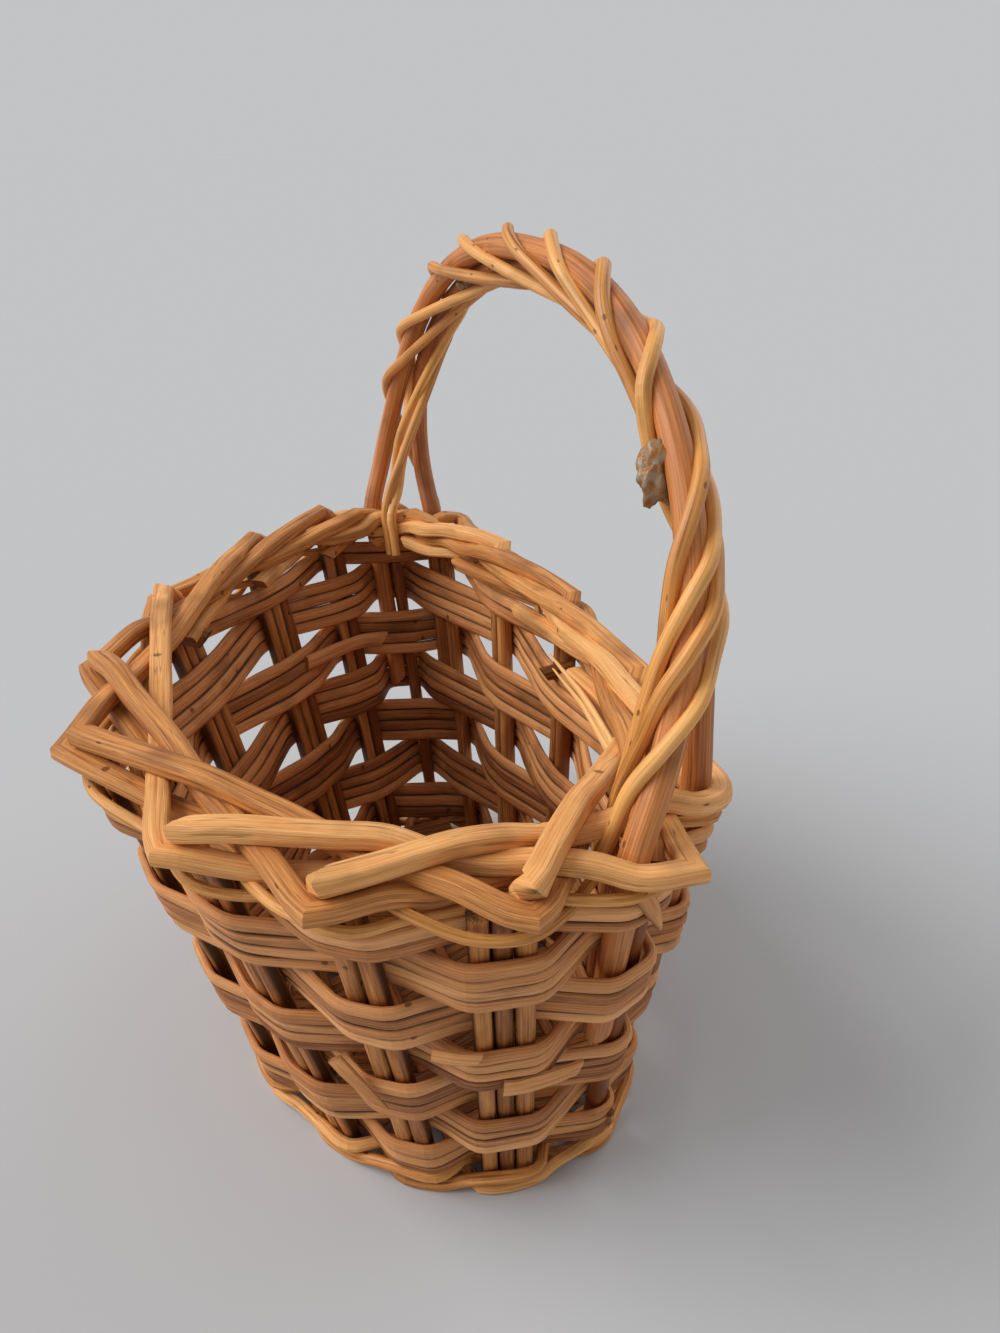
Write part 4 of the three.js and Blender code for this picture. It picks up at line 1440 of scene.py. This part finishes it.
@dataclass
class Border:
    """The main rods, each folded over at the rim and plaited with its neighbours."""

    wall: Wall
    shift: np.ndarray
    thick: float = 5.7  # of the solids
    fold_drop: float = 20.0  # length below the rim in which a rod's points lie closer
    tension: float = 0.3
    start_points: int = 2  # points after the fold that stay in place
    upright: int = 5  # points of a rod below its fold
    broad: float = 6.2  # width and thickness of a folded rod
    slim: float = 4.7
    square: float = 3.2
    folded_square: float = 1.6  # how much squarer a rod is once folded
    flatten_from: float = 14.0  # length below the rim from which a rod grows flat
    flatten_over: float = 12.0
    upright_painted_shade: float = 0.9  # how much darker the part below the rim is, painted shade of the wall it stands in
    step: float = 2.6

    @property
    def corner(self) -> int:
        """Number of the point at which a strand folds outside the border."""
        return self.upright + [on for on, _, _ in BORDER_ROUTE].index(BEND_AT)

    def strands(self) -> list[Strand]:
        """Lays the main rods by rule.

        Returns:
            The rods before they are drawn tight.
        """
        wall = self.wall
        made = []
        for start, stake in enumerate(STAKES):
            side = wall.main_side(start)
            ahead = (start + BEND_AT) % COUNT
            bend = wall.main_side(ahead) + STAKES[ahead].bend
            straight = wall.height - self.fold_drop
            levels = [t * straight for t in (0, 0.5, 1)]
            levels += [wall.height - self.fold_drop * (1 - t) for t in (0.4, 0.75)]
            points = [wall.beside(start, z, side, 0) for z in levels]
            for on, out, rise in BORDER_ROUTE:
                s = start + on
                half = wall.reach(math.floor(s + 0.5) % COUNT, wall.height)[2]
                away = out * (half + self.thick / 2 + wall.gap)
                away += STAKES[ahead].tip * self.thick * max(0.0, 1 - 4 * abs(on - BEND_AT))
                along = side * max(0.0, 1 - on) + bend * max(0.0, 1 - abs(on - BEND_AT))
                points.append(wall.beside(s, wall.height + rise * self.thick, along, away))
            number = np.arange(len(points))
            firm = self.upright + (0 if stake.core else self.start_points)
            around = 0 if STAKES[ahead].core else 1
            held = (number < firm) | (np.abs(number - self.corner) <= around)
            radius = np.where(number < self.upright, wall.stake_d, self.thick) / 2
            made.append(Strand(np.array(points), radius, held, self.tension))
        return made

    def line(self, strand: Strand, sharp: bool) -> np.ndarray:
        """Draws the line of a strand, with a sharp bend where it starts on the rim.

        Args:
            strand: The strand.
            sharp: Whether its outer fold is sharp too.

        Returns:
            Points along it.
        """
        marks = [0, self.upright + 1, len(strand.points) - 1]
        if sharp:
            marks.insert(2, self.corner)
        legs = [curve_through(strand.points[a : b + 1], self.step) for a, b in zip(marks, marks[1:])]
        return np.vstack([legs[0], *(leg[1:] for leg in legs[1:])])

    def build(self, strands: Sequence[Strand]) -> None:
        """Makes every main rod with its border strand.

        Args:
            strands: The rods after they were drawn tight.
        """
        for s, strand in enumerate(strands):
            rng = np.random.default_rng(700 + s)
            line = self.line(strand, (s + BEND_AT) % COUNT in SHARP_FOLDS)
            where = lengths_along(line)
            bend = self.wall.height / max(0.1, self.wall.slope(s)[2])
            folded = np.clip((where - bend + self.flatten_from) / self.flatten_over, 0, 1)
            ahead = unit(np.gradient(line, axis=0))
            # The section's up runs along the wall below the rim and turns upright in the border
            away = self.wall.outward(s)
            travel = np.array([-away[1], away[0], 0.0])
            ups = np.where(folded[:, None] > 0, UP - 0.3 * travel * (1 - folded[:, None] * 0.9), -travel)
            ups = unit(ups - ahead * (ups * ahead).sum(1, keepdims=True))
            taper = 1.05 - 0.15 * np.clip((where - bend) / max(1.0, where[-1] - bend), 0, 1)
            width = lerp(self.wall.stake_d, self.broad * taper, folded)
            thick = lerp(self.wall.stake_d, self.slim * taper, folded)
            width = width * (1 + 0.03 * wave(rng, where, 60.0))
            thick = thick * (1 + 0.03 * wave(rng, where, 45.0))
            piece = Piece(f"border_rod_{s + 1:02d}", self.shift)
            section = Section(width, thick, self.square + self.folded_square * folded, 16)
            # The part below the rim is darker: painted shade of the wall it stands in
            tone = rng.uniform(-0.6, 0.7) - self.upright_painted_shade * (1 - folded)
            # Painted shade on its underside
            piece.sweep(Tube(line, section, ups, tone=tone, cut=(0.0, 0.8), groove=(0.35, 0.0)))
            piece.finish(BORDER_WILLOW, CUT_END, [f"stake_{s + 1:02d}"], "stake_willow")


@dataclass
class SideRods:
    """The shorter rods beside a main rod, cut off under the border."""

    wall: Wall
    shift: np.ndarray
    top: float
    uneven: float = 1.5  # how unevenly their tops are cut off
    square: float = 3.2

    def places(self, s: int) -> list[float]:
        """Places the rods beside a stake, spaced as the solids are.

        Args:
            s: The stake.

        Returns:
            How far along the wall each lies from the stake.
        """
        rods = STAKES[s].rods
        sign = 1 if rods > 0 else -1
        wall = self.wall
        return [wall.main_side(s) + sign * (wall.rod_step + k * wall.stake_d) for k in range(abs(rods))]

    def build(self) -> None:
        """Makes the rods of every stake that has them."""
        for s, stake in enumerate(STAKES):
            if not stake.rods:
                continue
            rng = np.random.default_rng(800 + s)
            piece = Piece(f"upright_rods_{s + 1:02d}", self.shift)
            for side in self.places(s):
                top = self.top - rng.uniform(0, self.uneven)
                ends = [self.wall.beside(s, z, side, 0) for z in (0.0, top)]
                line = spread_evenly(np.array(ends), 4.0)
                where = lengths_along(line)
                width = self.wall.stake_d * (0.96 + 0.04 * wave(rng, where, 70.0))
                section = Section(width * 0.95, width, self.square)
                away = self.wall.outward(s)
                ups = np.broadcast_to(np.array([-away[1], away[0], 0.0]), line.shape)
                # Painted shade on both sides, towards the neighbouring rods
                piece.sweep(Tube(line, section, ups, tone=rng.uniform(-0.8, 0.6), groove=(0.9, 0.9)))
            piece.finish(STAKE_WILLOW, CUT_END, [f"side_rods_{s + 1:02d}"], "side_rod")


@dataclass
class Base:
    """Sticks across the bottom with bands of split cane woven over and under them."""

    wall: Wall
    shift: np.ndarray
    foot_d: float = 3.6
    foot_flat: float = 0.5  # height taken off under the foot
    sticks: tuple[float, ...] = (0.17, 0.4, 0.62, 0.84)  # places, as shares from the back to the front
    stick_d: float = 4.0
    bands: int = 11
    band_w: float = 12.0
    band_t: float = 2.4
    inset: float = 5.6  # from the stakes' middles to the edge of the base
    edge: float = 6.0  # free space beside the outermost bands
    rest: float = 9.0  # a stick nearer than this to the end of a band is passed over
    grip: float = 3.0  # and one nearer than this isn't crossed

    @property
    def foot_low(self) -> float:
        """Height of the foot's lowest strands."""
        return self.foot_d / 2 - self.foot_flat

    @property
    def foot_high(self) -> float:
        """Height of the foot's highest strands."""
        return self.foot_low + self.foot_d + self.wall.gap

    @property
    def foot_mid(self) -> float:
        """Height between the two."""
        return (self.foot_low + self.foot_high) / 2

    @property
    def level(self) -> float:
        """Height of the sticks' middle."""
        return self.foot_mid + self.foot_d / 2 + self.wall.gap + self.stick_d / 2

    def outline(self) -> np.ndarray:
        """Gives the corners of the base."""
        return np.array([self.wall.beside(s, self.level, 0, -self.inset) for s in range(COUNT)])

    def span(self, axis: int, at: float, width: float) -> tuple[float, float]:
        """Finds where lines parallel to one axis, spread over a width, all lie inside the base.

        Args:
            axis: 0 for lines along Y at one X, 1 for lines along X at one Y.
            at: Their place on that axis.
            width: How wide they are spread.

        Returns:
            The low and high end.
        """
        outline = self.outline()
        spans = []
        for place in (at - width / 2, at, at + width / 2):
            hits = []
            for p, q in zip(outline, np.roll(outline, -1, axis=0)):
                if (p[axis] - place) * (q[axis] - place) <= 0:
                    run = q[1 - axis] - p[1 - axis]
                    hits.append(p[1 - axis] + run * (place - p[axis]) / (q[axis] - p[axis]))
            spans.append((min(hits), max(hits)))
        return max(a for a, _ in spans), min(b for _, b in spans)

    def stick_places(self) -> list[float]:
        """Gives the places of the sticks between the back and the front."""
        outline = self.outline()
        return [lerp(outline[:, 1].max(), outline[:, 1].min(), share) for share in self.sticks]

    def stick_lines(self) -> list[np.ndarray]:
        """Lays the sticks.

        Returns:
            Both ends of every stick.
        """
        made = []
        for y in self.stick_places():
            low, high = self.span(1, y, self.stick_d)
            made.append(np.array([[low, y, self.level], [high, y, self.level]]))
        return made

    def band_lines(self) -> list[np.ndarray]:
        """Lays the bands, which pass over one stick and under the next.

        Returns:
            The corner points of every band.
        """
        outline = self.outline()
        first = outline[:, 0].min() + self.edge + self.band_w / 2
        pitch = (outline[:, 0].max() - self.edge - self.band_w / 2 - first) / (self.bands - 1)
        swing = ((self.stick_d + self.band_t) / 2 + self.wall.gap) * 1.1
        end_level = self.level + (self.band_t - self.stick_d) / 2
        clear = self.stick_d / 2 + self.wall.gap
        made = []
        for n in range(self.bands):
            x = first + n * pitch
            front, back = self.span(0, x, self.band_w)
            for y in self.stick_places():
                if y >= back - self.grip:
                    back = min(back, y - clear)
                if y <= front + self.grip:
                    front = max(front, y + clear)
            crossed = [(y, k) for k, y in enumerate(self.stick_places()) if front < y < back]
            rises = []
            for y, k in crossed:
                near = min(back - y, y - front) < self.rest
                rises.append((y, near, swing if near or (n + k) % 2 == 1 else -swing))
            points = [[x, back, self.level + rises[0][2] if rises[0][1] else end_level]]
            for y, _, rise in rises:
                points += [[x, y + 1, self.level + rise], [x, y - 1, self.level + rise]]
            points.append([x, front, self.level + rises[-1][2] if rises[-1][1] else end_level])
            made.append(np.array(points))
        return made

    def build(self) -> None:
        """Makes the sticks and the bands."""
        for k, ends in enumerate(self.stick_lines()):
            rng = np.random.default_rng(900 + k)
            line = spread_evenly(ends, 6.0)
            piece = Piece(f"base_rod_{k + 1}", self.shift)
            section = Section(self.stick_d, self.stick_d, 2.2, 10)
            piece.sweep(Tube(line, section, tone=rng.uniform(-0.5, 0.5)))
            piece.finish(STAKE_WILLOW, CUT_END, [f"base_stick_{k + 1}"], "base_cane")
        for n, corners in enumerate(self.band_lines()):
            rng = np.random.default_rng(920 + n)
            line = rounded_corners(corners, 3.0, 3.0)
            piece = Piece(f"base_canes_{n + 1:02d}", self.shift)
            for side in (-1, 0, 1):
                points = line + np.array([side * self.band_w / 3, 0.0, 0.0])
                section = Section(self.band_w / 3 - 0.1, self.band_t * 0.95, 2.6, 8)
                ups = np.broadcast_to(UP, line.shape)
                piece.sweep(Tube(points, section, ups, tone=rng.uniform(-0.7, 0.7)))
            # The bands take the split cane darkened as painted shade
            piece.finish(PAINTED_SHADE_BASE_CANE, CUT_END, [f"base_band_{n + 1:02d}"], "base_cane")


@dataclass
class Foot:
    """Three strands that wale round the foot of the stakes."""

    wall: Wall
    base: Base
    low_row: float
    shift: np.ndarray
    edge: float = 0.8  # how far past a stake a strand leaves it
    thick: float = 4.0
    rise: float = 1.3  # the strands lie this much looser than the solids

    def strands(self) -> list[Strand]:
        """Lays the three strands by rule, each outside two stakes and inside the third.

        Returns:
            The strands before they are pushed clear.
        """
        base, wall = self.base, self.wall
        made = []
        for strand in range(3):
            route = []
            for s in range(COUNT):
                low, high, half = wall.reach(s, base.foot_mid)
                stage = (s - strand + 3) % 3
                out = (half + base.foot_d / 2 + wall.gap) * (1 if stage else -1)
                z = (base.foot_mid, base.foot_low, base.foot_high)[stage]
                route += [wall.beside(s, z, low - self.edge, out), wall.beside(s, z, high + self.edge, out)]
                between = s + 0.5
                if stage == 0:
                    route.append(wall.beside(between, base.foot_low, 0, 0))
                elif stage == 1:
                    route.append(wall.beside(between, base.foot_mid, 0, out + base.foot_d / 3))
                else:
                    route.append(wall.beside(between, base.foot_high + wall.gap, 0, 0))
            made.append(Strand(np.array([*route, route[0]]), base.foot_d / 2))
        return made

    def settle(self) -> list[Strand]:
        """Pushes the strands clear of each other, the stakes and the base.

        Returns:
            The strands.
        """
        wall, base = self.wall, self.base
        strands = self.strands()
        still = []
        for s, stake in enumerate(STAKES):
            sign = 1 if stake.rods > 0 else -1
            for k in range(abs(stake.rods) + 1):
                side = wall.main_side(s) + sign * k * wall.rod_step
                still.append(still_rod(wall, s, side, 0.0, self.low_row))
        still += [Strand(line, base.stick_d / 2, True) for line in base.stick_lines()]
        for line in base.band_lines():
            for side in (-1, 0, 1):
                shifted = line + np.array([side * (base.band_w - base.band_t) / 2, 0, 0])
                still.append(Strand(shifted, base.band_t / 2, True))
        Easing(gap=-0.2).run([*strands, *still])
        return strands

    def build(self) -> None:
        """Makes the three strands."""
        for k, strand in enumerate(self.settle()):
            rng = np.random.default_rng(1000 + k)
            ring = strand.points[1:] * np.array([1.0, 1.0, self.rise])
            # A curve through more than one turn, cut back to one, closes without a kink
            around = np.vstack([ring[-3:], ring, ring[:4]])
            fine = curve_through(around, 2.8)
            start = int(np.argmin(np.linalg.norm(fine[: len(fine) // 3] - ring[0], axis=1)))
            stop = len(fine) // 2 + int(np.argmin(np.linalg.norm(fine[len(fine) // 2 :] - ring[0], axis=1)))
            line = fine[start:stop]
            where = lengths_along(line)
            size = self.thick * (0.97 + 0.05 * wave(rng, where, 90.0))
            piece = Piece(f"foot_rod_{'abc'[k]}", self.shift)
            ups = np.broadcast_to(UP, line.shape)
            section = Section(size, size, 2.1)
            piece.sweep(Tube(line, section, ups, tone=rng.uniform(-0.4, 0.6), closed=True))
            piece.finish(FOOT_WILLOW, None, [f"foot_strand_{'abc'[k]}"], "foot_willow")


@dataclass(frozen=True)
class LooseEnd:
    """A cut or split end that stands off the weave.

    Start and stop are given as place counted in stakes, height and distance outward.
    """

    name: str
    start: tuple[float, float, float]
    stop: tuple[float, float, float]
    width: float
    thick: float
    taper: float = 1.0  # width at the stop as a share of the width
    tone: float = 0.0  # above 0 lighter, below 0 darker
    square: float = 2.6
    finish: Finish = ROW_CANE


LOOSE_ENDS = (
    LooseEnd(
        "splinter_long", (10.0, 143.0, -14.5), (11.6, 140.0, -13.5),
        3.8, 1.8, 0.1, 1.4, finish=BORDER_WILLOW,
    ),
    LooseEnd(
        "splinter_mid", (10.0, 139.5, -14.5), (11.5, 137.5, -14.0),
        3.4, 1.6, 0.1, 1.2, finish=BORDER_WILLOW,
    ),
    LooseEnd(
        "splinter_short", (10.0, 137.5, -13.5), (11.1, 136.0, -12.5),
        3.0, 1.5, 0.1, 0.9, finish=BORDER_WILLOW,
    ),
    LooseEnd(
        "rod_end_left", (3.1, 138.0, 1.0), (3.1, 136.0, -12.0),
        7.5, 7.5, 0.95, -0.6, 2.0, STAKE_WILLOW,
    ),
    LooseEnd(
        "rod_end_back", (11.9, 125.0, 1.0), (11.9, 124.0, -9.5),
        5.5, 5.5, 0.95, -0.8, 2.0, STAKE_WILLOW,
    ),
    LooseEnd("blunt_cane_inside", (1.9, 99.0, -5.5), (0.42, 96.0, -8.6), 6.4, 2.4, 1.0, 0.9),
    LooseEnd("pointed_end_right", (8.85, 139.0, 7.5), (9.05, 121.0, 8.5), 5.0, 2.4, 0.08, 0.3),
    LooseEnd("blunt_cane_front", (7.95, 68.0, 6.6), (8.6, 66.0, 7.0), 5.4, 2.2, 0.9, 0.5),
    LooseEnd("split_cane_left", (6.62, 73.0, 7.2), (7.0, 57.0, 8.2), 5.2, 1.8, 0.12, 0.4),
    LooseEnd("cane_end_front", (7.45, 87.0, 7.6), (7.78, 86.0, 8.2), 4.4, 2.2, 0.8, 0.4),
    LooseEnd("foot_rod_end", (9.3, 8.0, 5.5), (9.15, 22.0, 7.0), 3.8, 3.6, 0.7, 0.0, 2.0, FOOT_WILLOW),
)


@dataclass
class LooseEnds:
    """The ends of canes and rods that a basket maker leaves, and splinters from use."""

    wall: Wall
    shift: np.ndarray
    step: float = 2.5

    def build(self) -> None:
        """Makes every loose end."""
        for end in LOOSE_ENDS:
            rng = np.random.default_rng(len(end.name))
            marks = [lerp(np.array(end.start), np.array(end.stop), t) for t in np.linspace(0, 1, 7)]
            points = [self.wall.beside(s, z, 0, out) for s, z, out in marks]
            line = spread_evenly(np.array(points), self.step)
            along = np.linspace(0, 1, len(line))
            size = 1 - (1 - end.taper) * along**2
            bow = 0.5 * np.sin(along * math.pi)[:, None] * self.wall.outward(end.start[0])
            width = end.width * size * (1 + 0.05 * wave(rng, along, 0.7))
            section = Section(end.thick * (0.4 + 0.6 * size), width, end.square)
            ups = np.broadcast_to(UP, line.shape)
            piece = Piece(f"loose_{end.name}", self.shift)
            # Painted shade on its sides, more on the lower side
            piece.sweep(Tube(line + bow, section, ups, tone=end.tone, cut=(0.0, 0.5), groove=(0.6, 0.2)))
            piece.finish(end.finish, CUT_END, [], "split_cane")


@dataclass
class Glue:
    """Two dried lumps of glue on the handle."""

    shift: np.ndarray
    # Middle, and the half sizes along X, along Y and up
    lumps: tuple[tuple[tuple[float, float, float], tuple[float, float, float]], ...] = (
        ((87.0, -21.4, 219.6), (3.6, 4.8, 6.6)),
        ((-72.5, -11.2, 242.8), (2.6, 3.2, 2.2)),
    )
    rough: float = 0.5  # how far the surface rises and falls, as a share of the size
    bumps: float = 1.3  # bumps across half a lump

    def build(self) -> None:
        """Makes both lumps."""
        finish = GlueFinish().make()
        for k, (middle, half) in enumerate(self.lumps):
            bm = bmesh.new()
            bmesh.ops.create_icosphere(bm, subdivisions=4, radius=1.0)
            for vert in bm.verts:
                place = vert.co * self.bumps + Vector((k, 0, 0))
                vert.co *= 1 + self.rough * noise.fractal(place, 0.9, 2.2, 4)
            bmesh.ops.scale(bm, vec=Vector(half) * MM, verts=bm.verts)
            spot = Vector((np.array(middle) + self.shift) * MM)
            bmesh.ops.translate(bm, vec=spot, verts=bm.verts)
            for face in bm.faces:
                face.smooth = True
            name = f"glue_lump_{'ab'[k]}"
            mesh = bpy.data.meshes.new(name)
            bm.to_mesh(mesh)
            bm.free()
            mesh.materials.append(finish)
            piece = bpy.data.objects.new(name, mesh)
            bpy.context.scene.collection.objects.link(piece)
            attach(piece, "root")
            LOG.info("%s: %d faces", name, len(mesh.polygons))


# Studio


@dataclass(frozen=True)
class SoftLamp:
    """A wide distant lamp, such as a large soft box."""

    name: str
    towards: tuple[float, float, float]  # direction to the lamp
    power: float
    spread: float  # degrees across

    @property
    def on_floor(self) -> float:
        """Its share of the light on open floor."""
        return self.power * float(unit(np.array(self.towards))[2]) / math.pi

    def make(self) -> None:
        """Adds the lamp to the scene."""
        data = bpy.data.lights.new(self.name, "SUN")
        data.energy = self.power
        data.angle = math.radians(self.spread)
        lamp = bpy.data.objects.new(self.name, data)
        lamp.rotation_mode = "QUATERNION"
        lamp.rotation_quaternion = Vector(self.towards).to_track_quat("Z", "Y")
        bpy.context.scene.collection.objects.link(lamp)


@dataclass
class Studio:
    """Pale floor, soft lamps and the camera at the photograph's angle."""

    shift: np.ndarray
    paper: str = "bcbdbf"
    sky: float = 0.42  # strength of the light from all around
    lamps: tuple[SoftLamp, ...] = (
        SoftLamp("key", (-0.27, -0.74, 0.62), 2.75, 48.0),
        SoftLamp("fill", (-0.3, 0.8, 0.5), 0.75, 60.0),
    )
    focal: float = 1001.17  # in pixels, as is the picture's long side
    long_side: float = 1333.0
    sensor: float = 36.0
    azimuth: float = 1.199022  # radians, as are pitch and roll
    pitch: float = 0.475902
    roll: float = 0.0080849
    camera_at: tuple[float, float, float] = (280.975, -135.403, 284.584)

    def camera(self) -> None:
        """Makes the camera."""
        sin_a, cos_a = math.sin(self.azimuth), math.cos(self.azimuth)
        sin_p, cos_p = math.sin(self.pitch), math.cos(self.pitch)
        sin_r, cos_r = math.sin(self.roll), math.cos(self.roll)
        ahead = np.array([-sin_a * cos_p, cos_a * cos_p, -sin_p])
        right = np.array([cos_a, sin_a, 0.0])
        down = np.cross(ahead, right)
        right, down = cos_r * right - sin_r * down, sin_r * right + cos_r * down
        data = bpy.data.cameras.new("view")
        data.sensor_width = self.sensor
        data.lens = self.focal * self.sensor / self.long_side
        data.clip_start, data.clip_end = 0.01, 100.0
        camera = bpy.data.objects.new("view", data)
        spot = (np.array(self.camera_at) + self.shift) * MM
        turn = np.eye(4)
        turn[:3, 0], turn[:3, 1], turn[:3, 2], turn[:3, 3] = right, -down, -ahead, spot
        camera.matrix_world = Matrix(turn.tolist())
        bpy.context.scene.collection.objects.link(camera)
        bpy.context.scene.camera = camera

    @property
    def level(self) -> float:
        """Light that falls on open floor, where 1 shows a colour as it is written."""
        return self.sky + sum(lamp.on_floor for lamp in self.lamps)

    def floor(self) -> None:
        """Makes a wide flat floor of matt paper."""
        bm = bmesh.new()
        bmesh.ops.create_circle(bm, cap_ends=True, segments=64, radius=60.0)
        mesh = bpy.data.meshes.new("studio_floor")
        bm.to_mesh(mesh)
        bm.free()
        made = bpy.data.materials.new("matt_pale_grey_paper")
        made.use_nodes = True
        shader = made.node_tree.nodes["Principled BSDF"]
        shader.inputs["Base Color"].default_value = linear(self.paper)
        shader.inputs["Roughness"].default_value = 1.0
        shader.inputs["Specular IOR Level"].default_value = 0.0
        mesh.materials.append(made)
        floor = bpy.data.objects.new("studio_floor", mesh)
        bpy.context.scene.collection.objects.link(floor)

    def light(self) -> None:
        """Makes the lamps and the world, which the camera sees as more of the same paper."""
        for lamp in self.lamps:
            lamp.make()
        world = bpy.data.worlds.new("studio")
        bpy.context.scene.world = world
        world.use_nodes = True
        tree = world.node_tree
        tree.nodes.clear()
        seen = add_node(tree, "ShaderNodeLightPath").outputs["Is Camera Ray"]
        sky = add_node(tree, "ShaderNodeBackground")
        sky.inputs["Color"].default_value = (1.0, 1.0, 1.0, 1.0)
        sky.inputs["Strength"].default_value = self.sky
        far = add_node(tree, "ShaderNodeBackground")
        far.inputs["Color"].default_value = linear(self.paper)
        far.inputs["Strength"].default_value = self.level
        mix = add_node(tree, "ShaderNodeMixShader", {"0": seen, "1": sky.outputs[0], "2": far.outputs[0]})
        add_node(tree, "ShaderNodeOutputWorld", {"Surface": mix.outputs[0]})
        bpy.context.scene.view_settings.view_transform = "Standard"


def shift_of_solids(base: Base) -> np.ndarray:
    """Measures how far, in millimetres, the solids' frame lies from the wall's.

    Args:
        base: The base, whose second stick is looked up among the solids.

    Returns:
        The shift.
    """
    low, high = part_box("base_stick_2")
    ends = base.stick_lines()[1]
    middle = np.array((low + high) / 2) / MM
    return np.array([middle[0] - ends[:, 0].mean(), middle[1] - ends[0][1], 0.0])


def still_strands(rows: Rows, handle: Handle, rods: SideRods) -> list[Strand]:
    """Gathers what stays in place at the rim while the border and the wraps are drawn tight.

    Args:
        rows: The weaver rows, of which the top one counts.
        handle: The handle, of which the cores count.
        rods: The side rods.

    Returns:
        The strands.
    """
    wall = rods.wall
    canes = rows.route(0)[0]
    still = [Strand(canes + UP * side * rows.cane_w / 2, rows.cane_w / 2, True) for side in (-1, 1)]
    still += [Strand(line, wall.core_d / 2, True) for line in handle.cores()]
    for s in range(COUNT):
        for side in rods.places(s):
            still.append(still_rod(wall, s, side, rods.top - 2 * wall.stake_d, rods.top))
    return still


@dataclass
class Basket:
    """The whole basket, made of its sub-assemblies."""

    wall: Wall
    shift: np.ndarray
    loose_tension: float = 0.8  # of the border in the second easing

    def build_upper(self, rows: Rows) -> None:
        """Makes the rows, the twine, the border, the side rods and the handle.

        Args:
            rows: The weaver rows.
        """
        twine = Twine(self.wall, rows, self.shift)
        handle = Handle(self.wall, self.shift)
        border = Border(self.wall, self.shift)
        rods = SideRods(self.wall, self.shift, twine.level + twine.thick / 2)
        still = still_strands(rows, handle, rods)
        borders, wraps, twines = border.strands(), handle.strands(), twine.strands()
        Easing().run([*borders, *wraps, *twines, *still])
        # The border's rods are flatter than they are wide, so they may lie closer than the solids
        for strand in borders:
            strand.tension = self.loose_tension
        frozen = [Strand(strand.points, strand.radius, True) for strand in twines]
        Easing(rounds=200, last=24, gap=-1.1).run([*borders, *wraps, *frozen, *still])
        border.build(borders)
        rods.build()
        rows.build()
        twine.build(twines)
        handle.build(wraps)

    def build(self) -> None:
        """Makes the whole basket, with its loose ends and glue."""
        rows = Rows(self.wall, self.shift)
        self.build_upper(rows)
        base = Base(self.wall, self.shift)
        base.build()
        Foot(self.wall, base, rows.low_level, self.shift).build()
        LooseEnds(self.wall, self.shift).build()
        Glue(self.shift).build()


def main() -> None:
    """Builds the studio and the basket."""
    logging.basicConfig(level=logging.INFO, format="%(message)s")
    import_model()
    wall = Wall()
    shift = shift_of_solids(Base(wall, np.zeros(3)))
    LOG.info("shift %s", shift)
    studio = Studio(shift)
    studio.camera()
    studio.floor()
    studio.light()
    Basket(wall, shift).build()
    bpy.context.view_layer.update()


if __name__ == "__main__":
    main()
